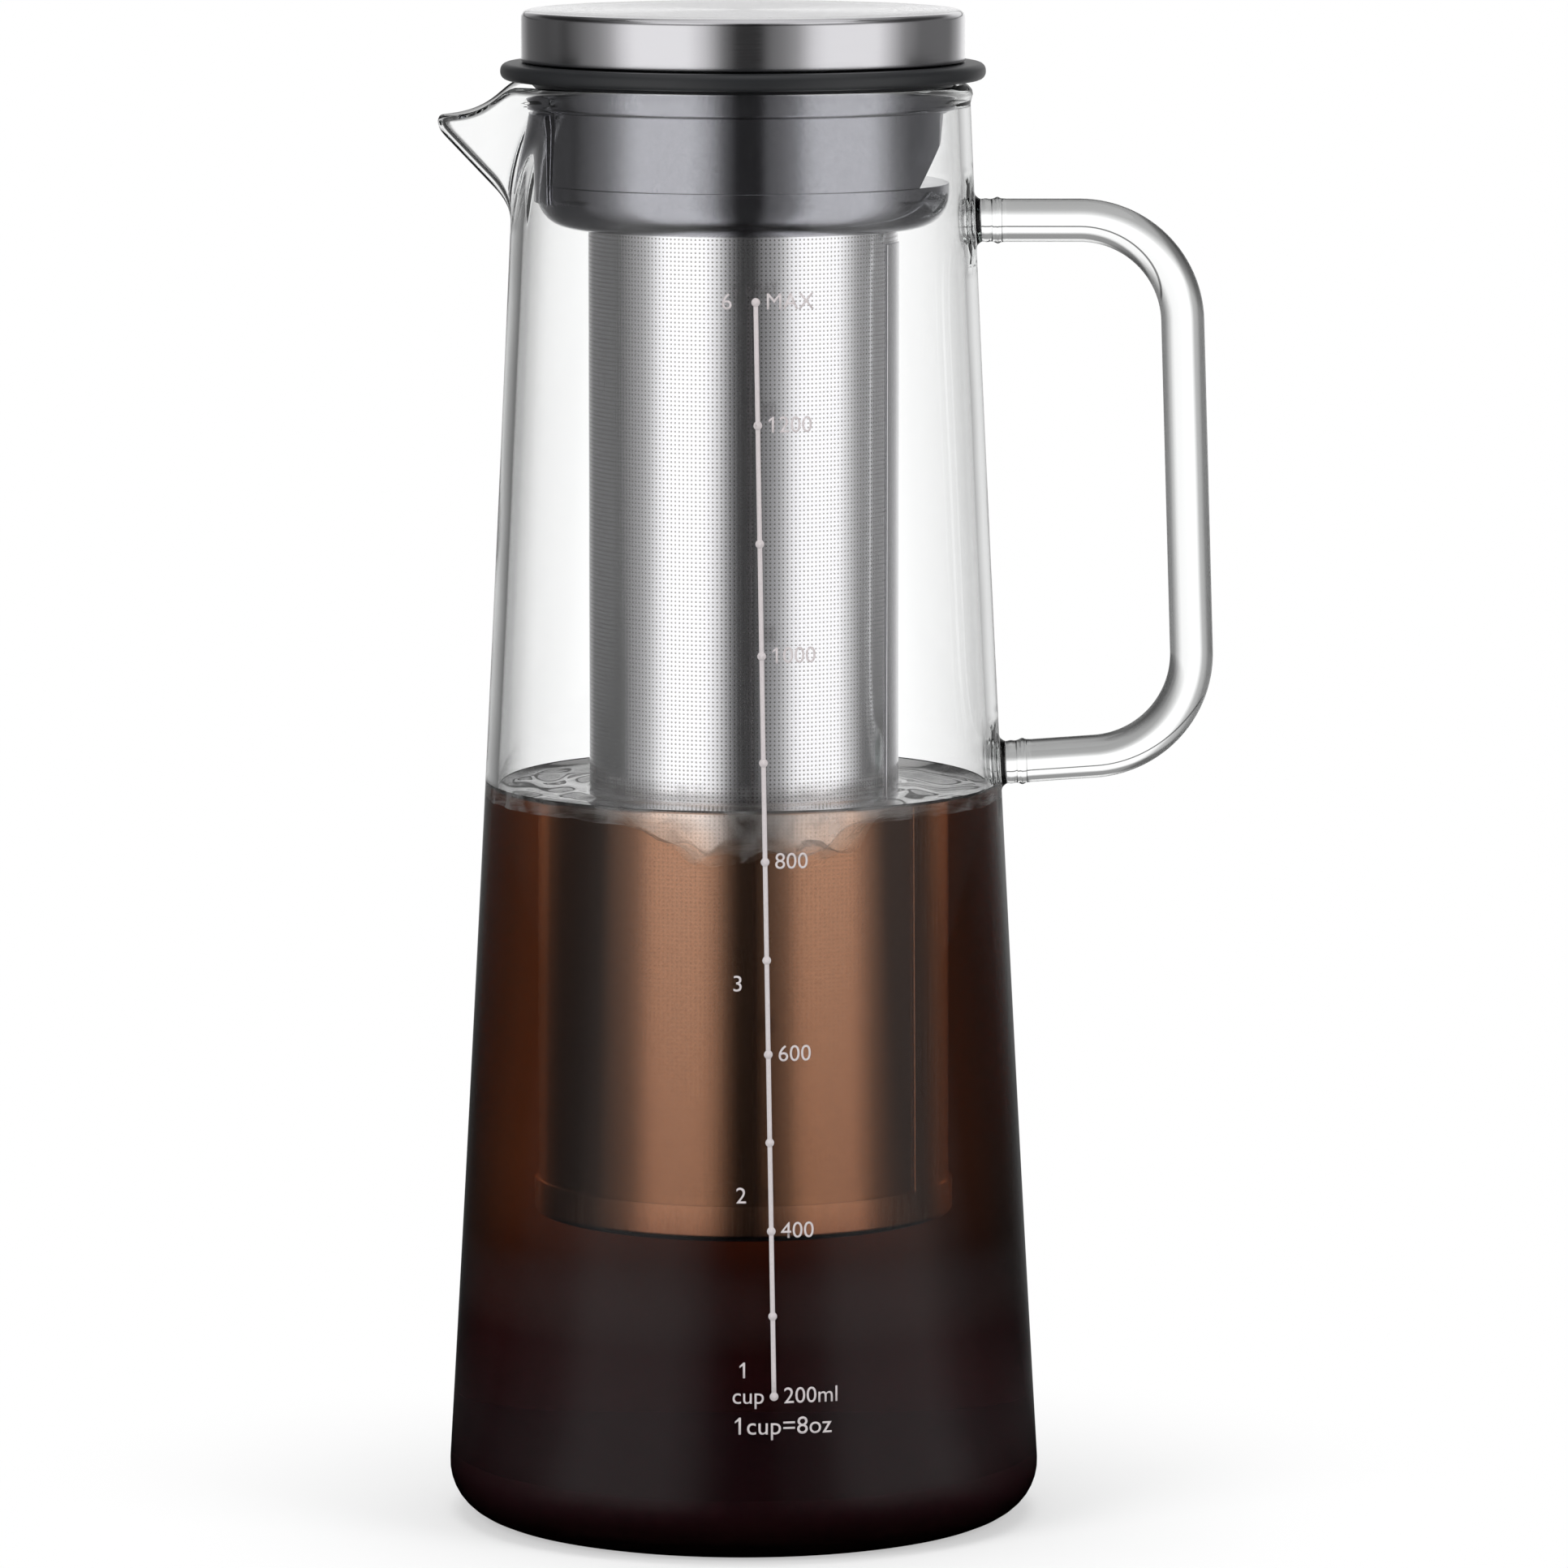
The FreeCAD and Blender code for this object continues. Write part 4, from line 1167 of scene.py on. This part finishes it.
def wrapRound(bm):  # rolls flat (x, height) artwork on to the front of the glass
    for v in bm.verts:
        x, z = v.co.x / mm, v.co.y / mm
        radius = sideRadius(z) + scale["inkProud"] + v.co.z / mm
        angle = x / sideRadius(z) - math.pi / 2
        v.co = Vector((radius * math.cos(angle), radius * math.sin(angle), z)) * mm


def makeScale():
    bm = bmesh.new()
    count, half, gap, tall = scale["lineSteps"], scale["lineWidth"] / 2, scale["gap"], scale["digitTall"]
    low, high = scale["lineLow"], scale["fullMark"]
    ring = [bm.edges.new([bm.verts.new(((lineX(low) + side * half) * mm, low * mm, 0)) for side in (-1, 1)])]
    for i in range(count):
        ring, verts = extrudeRing(bm, ring)
        z = low + (high - low) * (i + 1) / count
        for v in verts:
            side = -1 if v.co.x / mm < lineX(v.co.y / mm) else 1
            v.co = Vector((lineX(z) + side * half, z, 0)) * mm
    for amount, z in scale["marks"] + [(0, high)]:
        place = Matrix.Translation(Vector((lineX(z), z, 0.004)) * mm)
        bmesh.ops.create_circle(bm, cap_ends=True, segments=20, radius=scale["dot"] * mm, matrix=place)
        words = {0: "MAX", 200: "200ml"}.get(amount, str(amount))
        if amount in (0, 200) or amount % 200 == 0:
            addWriting(bm, words, lineX(z) + gap, z, tall)
    for cups, z in scale["cups"]:
        x = scale["cupX"] + (lineX(z) - scale["lineAtLow"]) * scale["cupLean"]
        addWriting(bm, cups, x, z, tall, "RIGHT")
    addWriting(bm, "cup", lineX(low) - gap, low, tall, "RIGHT")
    addWriting(bm, "1cup=8oz", lineX(low) + gap, scale["noteZ"], scale["noteTall"], "CENTER")
    wrapRound(bm)
    bmesh.ops.recalc_face_normals(bm, faces=bm.faces[:])
    for face in bm.faces:
        if face.normal.dot(face.calc_center_median() * Vector((1, 1, 0))) < 0:
            face.normal_flip()
    return bm


scalePiece = addPiece("printedScale", makeScale(), ceramicInk, "carafe")
thicken = scalePiece.modifiers.new("thickness", "SOLIDIFY")
thicken.thickness, thicken.offset = scale["inkThick"] * mm, 1.0
print("scale done")


# studio: pale floor, a tall tent of graded card for the glass and steel to mirror, soft lamps
studio = {
    "tentRadius": 1.45,
    "tentHigh": 2.6,
    "floorRadius": 6.0,
    "shadowFrom": 0.055,      # the floor goes from paint to plain white between these radii
    "shadowTo": 0.14,
    "shadowLight": 0.45,      # share of plain white that is left under the object
    "mirrorShadowFrom": 0.05,       # and from black to the tent's greys, where glass and steel see it: a painted shadow round the object
    "mirrorShadowTo": 0.18,
    # the floor's share of the tent's grey, front to back: a dark card behind the object deepens the coffee
    "card": [(-0.2, 1.0), (0.04, 1.0), (0.16, 0.35), (0.5, 0.4), (1.05, 1.0), (1.4, 1.0)],
    "floorHigh": 0.1,         # mm: the base is bedded in it, so that no film of air under it catches light
    "polarised": 0.3,         # share of a mirror reflection on clear glass that the lens lets through
    # grey of the tent by degrees from the camera, to the right
    "tentGreys": [
        (-180, 1.15), (-171, 1.1), (-164, 0.5), (-155, 0.36), (-147, 0.18), (-133, 0.13), (-121, 0.11),
        (-112, 0.13), (-104, 0.09), (-92, 0.23), (-80, 0.4), (-72, 0.64), (-64, 1.15), (-57, 1.45),
        (-28, 1.45), (-19, 1.0), (-10, 0.28), (-3, 0.05), (9, 0.05), (14, 0.24), (21, 0.34),
        (28, 0.52), (37, 1.2), (44, 1.4), (73, 1.4), (83, 0.85), (91, 0.42), (104, 0.22),
        (134, 0.22), (146, 0.5), (158, 1.0), (180, 1.15),
    ],
    # how much of that grey is left up the tent, by height: a dark header hangs over the object
    "header": [(0.0, 1.0), (0.72, 1.0), (0.9, 0.3), (1.5, 0.3), (1.8, 1.0), (2.6, 1.0)],
    # and in a batten across its back
    "batten": [(0.37, 0.385, 0.43, 0.45), 0.2],
    "battenBack": (0.85, 1.1),
    "skyLight": 0.55,         # of the world on the object, where it shows as plain white
    # name, place, point aimed at, width, height, watts
    "softboxes": [
        ("softboxLeft", (-0.75, -0.85, 0.75), (0, 0, 0.14), 0.5, 0.9, 7),
        ("softboxRight", (0.95, -0.7, 0.65), (0, 0, 0.14), 0.5, 0.9, 6),
        ("softboxTop", (0.0, 0.1, 1.3), (0, 0, 0.2), 0.9, 0.9, 8),
    ],
    "lens": 223.1,
    "sensor": 36.0,
    "cameraAt": (0.0071, -1.6866, 0.3417),
    "cameraAim": (0.0071, 0, 0.1287),
    # light bends through many walls of glass and coffee before it comes out
    "bounces": {"max": 32, "transmission": 32, "glossy": 12, "transparent_max": 16},
}


def addStage(name, bm, material):
    mesh = bpy.data.meshes.new(name)
    bm.to_mesh(mesh)
    bm.free()
    mesh.materials.append(material)
    piece = bpy.data.objects.new(name, mesh)
    scene.collection.objects.link(piece)
    return piece


def addStop(ramp, place, grey):
    stop = ramp.elements[0] if place == 0 else ramp.elements[-1] if place == 1 else ramp.elements.new(place)
    stop.position, stop.color = place, (grey, grey, grey, 1.0)


def tentGrey(tree, point):  # the tent's grey in the direction of this point from the axis
    xyz = addNode(tree, "SeparateXYZ", {"Vector": point})
    forward = addNode(tree, "Math", {0: xyz.outputs["Y"], 1: -1.0}, operation="MULTIPLY")
    turn = addNode(tree, "Math", {0: xyz.outputs["X"], 1: forward}, operation="ARCTAN2")
    share = addNode(tree, "MapRange", {"Value": turn, "From Min": -math.pi, "From Max": math.pi})
    colours = addNode(tree, "ValToRGB", {"Fac": share})
    for degrees, grey in studio["tentGreys"]:
        addStop(colours.color_ramp, (degrees + 180) / 360, grey)
    return colours


def lensShare(tree, path):  # a polariser on the lens holds back reflections on clear glass, and not on steel
    mirror = addNode(tree, "Math", {
        0: path.outputs["Is Reflection Ray"], 1: path.outputs["Is Singular Ray"],
    }, operation="MULTIPLY")
    return addNode(tree, "MapRange", {"Value": mirror, "To Min": 1.0, "To Max": studio["polarised"]})


floorMaterial, tree, point = newMaterial("studioFloor")
floorPath = addNode(tree, "LightPath")
floorOut = addNode(tree, "VectorMath", {0: point}, operation="LENGTH")
floorFade = addNode(tree, "MapRange", {
    "Value": floorOut, "From Min": studio["shadowFrom"], "From Max": studio["shadowTo"],
    "To Min": studio["shadowLight"],
}, interpolation_type="SMOOTHSTEP")
floorWhite = addNode(tree, "Math", {
    0: floorPath.outputs["Is Camera Ray"], 1: floorFade,
}, operation="MULTIPLY")
floorGlow = addNode(tree, "Emission", {"Color": "#FFFFFF", "Strength": 1.0})
floorPaint = addNode(tree, "BsdfDiffuse", {"Color": "#EDEDED"})
floorSeen = addNode(tree, "MixShader", {0: floorWhite, 1: floorPaint, 2: floorGlow})
# painted shadow: glass and steel see the floor black close to the object
floorShadowFade = addNode(tree, "MapRange", {
    "Value": floorOut, "From Min": studio["mirrorShadowFrom"], "From Max": studio["mirrorShadowTo"],
}, interpolation_type="SMOOTHSTEP")
floorLens = addNode(tree, "Math", {
    0: lensShare(tree, floorPath), 1: floorShadowFade,
}, operation="MULTIPLY")
cardFrom, cardTo = studio["card"][0][0], studio["card"][-1][0]
floorBack = addNode(tree, "MapRange", {
    "Value": addNode(tree, "SeparateXYZ", {"Vector": point}).outputs["Y"],
    "From Min": cardFrom, "From Max": cardTo,
})
floorCard = addNode(tree, "ValToRGB", {"Fac": floorBack})
for place, share in studio["card"]:
    addStop(floorCard.color_ramp, (place - cardFrom) / (cardTo - cardFrom), share)
floorShare = addNode(tree, "Math", {0: floorLens, 1: floorCard}, operation="MULTIPLY")
floorTent = addNode(tree, "Emission", {"Color": tentGrey(tree, point), "Strength": floorShare})
floorBent = addNode(tree, "Math", {
    0: floorPath.outputs["Is Glossy Ray"], 1: floorPath.outputs["Is Transmission Ray"],
}, operation="MAXIMUM")
floorAll = addNode(tree, "MixShader", {0: floorBent, 1: floorSeen, 2: floorTent})
addNode(tree, "OutputMaterial", {"Surface": floorAll})

bm = bmesh.new()
bmesh.ops.create_circle(
    bm, cap_ends=True, segments=96, radius=studio["floorRadius"],
    matrix=Matrix.Translation((0, 0, studio["floorHigh"] * mm)),
)
addStage("studioFloor", bm, floorMaterial)

tentMaterial, tree, point = newMaterial("studioTent")
tentPoint = addNode(tree, "SeparateXYZ", {"Vector": point})
tentUp = addNode(tree, "Math", {0: tentPoint.outputs["Z"], 1: 1 / studio["tentHigh"]}, operation="MULTIPLY")
tentHeader = addNode(tree, "ValToRGB", {"Fac": tentUp})
for height, share in studio["header"]:
    addStop(tentHeader.color_ramp, height / studio["tentHigh"], share)
(lowFrom, lowTo, highFrom, highTo), battenGrey = studio["batten"]
backFrom, backTo = studio["battenBack"]
battenMask = addNode(tree, "MapRange", {"Value": tentPoint.outputs["Z"], "From Min": lowFrom, "From Max": lowTo})
for axis, start, end in (("Z", highTo, highFrom), ("Y", backFrom, backTo)):
    edge = addNode(tree, "MapRange", {"Value": tentPoint.outputs[axis], "From Min": start, "From Max": end})
    battenMask = addNode(tree, "Math", {0: battenMask, 1: edge}, operation="MULTIPLY")
battenShare = addNode(tree, "MapRange", {"Value": battenMask, "To Min": 1.0, "To Max": battenGrey})
tentShare = addNode(tree, "Math", {0: tentHeader, 1: battenShare}, operation="MULTIPLY")
tentStrength = addNode(tree, "Math", {
    0: tentShare, 1: lensShare(tree, addNode(tree, "LightPath")),
}, operation="MULTIPLY")
tentGlow = addNode(tree, "Emission", {"Color": tentGrey(tree, point), "Strength": tentStrength})
addNode(tree, "OutputMaterial", {"Surface": tentGlow})

bm = bmesh.new()
bmesh.ops.create_cone(
    bm, cap_ends=False, segments=180, radius1=studio["tentRadius"], radius2=studio["tentRadius"],
    depth=studio["tentHigh"], matrix=Matrix.Translation((0, 0, studio["tentHigh"] / 2)),
)
tentPiece = addStage("studioTent", bm, tentMaterial)
tentPiece.visible_camera = tentPiece.visible_diffuse = tentPiece.visible_shadow = False

world = bpy.data.worlds.new("studioWorld")
scene.world = world
world.use_nodes = True
tree = world.node_tree
tree.nodes.clear()
skyPath = addNode(tree, "LightPath")
skySeen = skyPath.outputs["Is Camera Ray"]
for ray in ("Is Glossy Ray", "Is Transmission Ray"):
    skySeen = addNode(tree, "Math", {0: skySeen, 1: skyPath.outputs[ray]}, operation="MAXIMUM")
skyStrength = addNode(tree, "MapRange", {"Value": skySeen, "To Min": studio["skyLight"]})
sky = addNode(tree, "Background", {"Color": "#FFFFFF", "Strength": skyStrength})
addNode(tree, "OutputWorld", {"Surface": sky})


def addSoftbox(name, place, aim, width, tall, power):
    light = bpy.data.lights.new(name, "AREA")
    light.shape, light.size, light.size_y, light.energy = "RECTANGLE", width, tall, power
    holder = bpy.data.objects.new(name, light)
    scene.collection.objects.link(holder)
    holder.location = place
    holder.rotation_euler = (Vector(aim) - Vector(place)).to_track_quat("-Z", "Y").to_euler()
    holder.visible_camera = holder.visible_glossy = holder.visible_transmission = False


for softbox in studio["softboxes"]:
    addSoftbox(*softbox)

camera = bpy.data.cameras.new("camera")
camera.lens, camera.sensor_width = studio["lens"], studio["sensor"]
camera.clip_start, camera.clip_end = 0.1, 20
cameraHolder = bpy.data.objects.new("camera", camera)
scene.collection.objects.link(cameraHolder)
cameraHolder.location = studio["cameraAt"]
aim = Vector(studio["cameraAim"]) - cameraHolder.location
cameraHolder.rotation_euler = aim.to_track_quat("-Z", "Y").to_euler()
scene.camera = cameraHolder

scene.view_settings.view_transform = "Standard"
for kind, count in studio["bounces"].items():
    setattr(scene.cycles, kind + "_bounces", count)
print("studio done")

bpy.context.view_layer.update()
